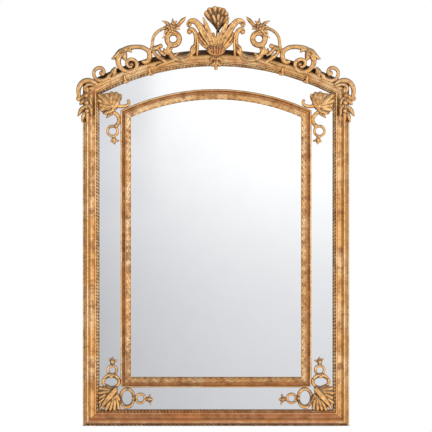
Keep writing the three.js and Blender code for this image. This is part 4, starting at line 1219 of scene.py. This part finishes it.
def world():
    """A pale room, brightest in front and to the right, dim above. The camera sees plain white."""
    setting = bpy.data.worlds.new("room")
    bpy.context.scene.world = setting
    setting.use_nodes = True
    tree = setting.node_tree
    n = Nodes(tree)
    background = tree.nodes["Background"]
    direction = tree.nodes.new("ShaderNodeTexCoord").outputs["Generated"]
    split = tree.nodes.new("ShaderNodeSeparateXYZ")
    tree.links.new(direction, split.inputs[0])
    x, y, z = split.outputs
    front = n.math("ADD", n.math("MULTIPLY", x, 0.10), n.math("MULTIPLY", y, -0.85))
    above = n.math("MAXIMUM", z, 0.0)
    below = n.math("MAXIMUM", n.math("MULTIPLY", z, -1.0), 0.0)
    tilt = n.math("ADD", n.math("MULTIPLY", above, 0.45), n.math("MULTIPLY", below, 0.25))
    key = n.math("SUBTRACT", front, tilt)
    level = n.ramp(key, -0.20, 0.80, ROOM_DIM, ROOM_BRIGHT)
    for across, up, strength in SOFT_BOXES:
        toward = n.math("MULTIPLY", x, across)
        toward = n.math("ADD", toward, n.math("MULTIPLY", z, up))
        toward = n.math("SUBTRACT", toward, n.math("MULTIPLY", y, math.sqrt(1 - across ** 2 - up ** 2)))
        level = n.math("ADD", level, n.ramp(toward, 0.84, 0.97, 0.0, strength))
    # Straight behind the camera the room falls off downward and to the left, as the plates show it.
    rise = n.math("ADD", n.math("MULTIPLY", n.clamped(z, -0.06, 0.036), 3.2), n.ramp(z, -0.028, 0.030, 0.795, 0.945))
    side = n.clamped(x, -0.036, 0.036)
    bend = n.math("MULTIPLY", n.math("MULTIPLY", side, side), -67.0)
    across = n.math("ADD", n.math("ADD", n.math("MULTIPLY", side, 4.7), bend), 1.0)
    plate = n.math("MULTIPLY", n.math("MULTIPLY", rise, across), MIRROR_GAIN)
    outward_x = n.ramp(n.math("ABSOLUTE", x), 0.014, 0.022)
    corner = n.math("MULTIPLY", n.math("MULTIPLY", outward_x, n.ramp(z, 0.016, 0.029)), 0.085)
    edge = n.math("MULTIPLY", n.ramp(n.math("MULTIPLY", x, -1.0), 0.014, 0.022), n.ramp(z, -0.004, 0.008))
    fall = n.math("ADD", corner, n.math("MULTIPLY", edge, 0.055))
    plate = n.math("MULTIPLY", plate, n.math("SUBTRACT", 1.0, fall))
    level = n.blend(n.ramp(n.math("MULTIPLY", y, -1.0), 0.984, 0.996), level, plate)
    # The white wall behind shows in the outer edges.
    wall = n.math("MULTIPLY", n.ramp(y, 0.0, 0.5, 0.0, 0.8), n.ramp(z, 0.1, 0.6, 1.0, 0.1))
    level = n.math("MAXIMUM", level, wall)
    path = tree.nodes.new("ShaderNodeLightPath")
    tint = n.mix(n.ramp(level, 0.60, 1.10), (0.957, 0.967, 1.0), (1.0, 1.0, 1.0))
    n.link(n.mix(path.outputs["Is Camera Ray"], tint, (1.0, 1.0, 1.0)), background.inputs["Color"])
    n.link(n.blend(path.outputs["Is Camera Ray"], level, 1.0), background.inputs["Strength"])


FLOOR_PALE = 0.45


def lamps():
    data = bpy.data.lights.new("key", "AREA")
    data.shape = "DISK"
    data.size = 2.4
    data.energy = 220
    item = bpy.data.objects.new("key", data)
    bpy.context.scene.collection.objects.link(item)
    item.location = (3.4, -3.6, 1.6)
    item.rotation_euler = (math.radians(82), 0, math.radians(43))
    item.visible_camera = False
    item.visible_glossy = False


def floor():
    size = 9.0
    mesh = bpy.data.meshes.new("floor")
    z = -FLOOR_DROP * MM
    mesh.from_pydata([(-size, -size, z), (size, -size, z), (size, size, z), (-size, size, z)], [], [(0, 1, 2, 3)])
    item = bpy.data.objects.new("floor", mesh)
    bpy.context.scene.collection.objects.link(item)
    material, tree, shader = new_material("floor")
    shader.inputs["Base Color"].default_value = (0.86, 0.86, 0.86, 1)
    shader.inputs["Roughness"].default_value = 0.8
    # The camera and the metal see the floor as the pale paper that it is.
    n = Nodes(tree)
    path = tree.nodes.new("ShaderNodeLightPath")
    shader.inputs["Emission Color"].default_value = (1, 1, 1, 1)
    seen = n.math("MAXIMUM", path.outputs["Is Camera Ray"], path.outputs["Is Glossy Ray"])
    n.link(n.math("MULTIPLY", seen, FLOOR_PALE), shader.inputs["Emission Strength"])
    mesh.materials.append(material)
    item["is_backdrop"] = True


camera()
world()
lamps()
floor()
mouldings()
backs()
crest_pieces()
carving_pair("cartouche_bottom", bottom_cartouche())
carving_pair("cartouche_top", top_cartouche())

bpy.context.scene.view_settings.view_transform = "Standard"
plain = lambda bounds: [[float(value) for value in corner] for corner in bounds]
{"cad": plain(cad_bounds), "visual": plain(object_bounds())}
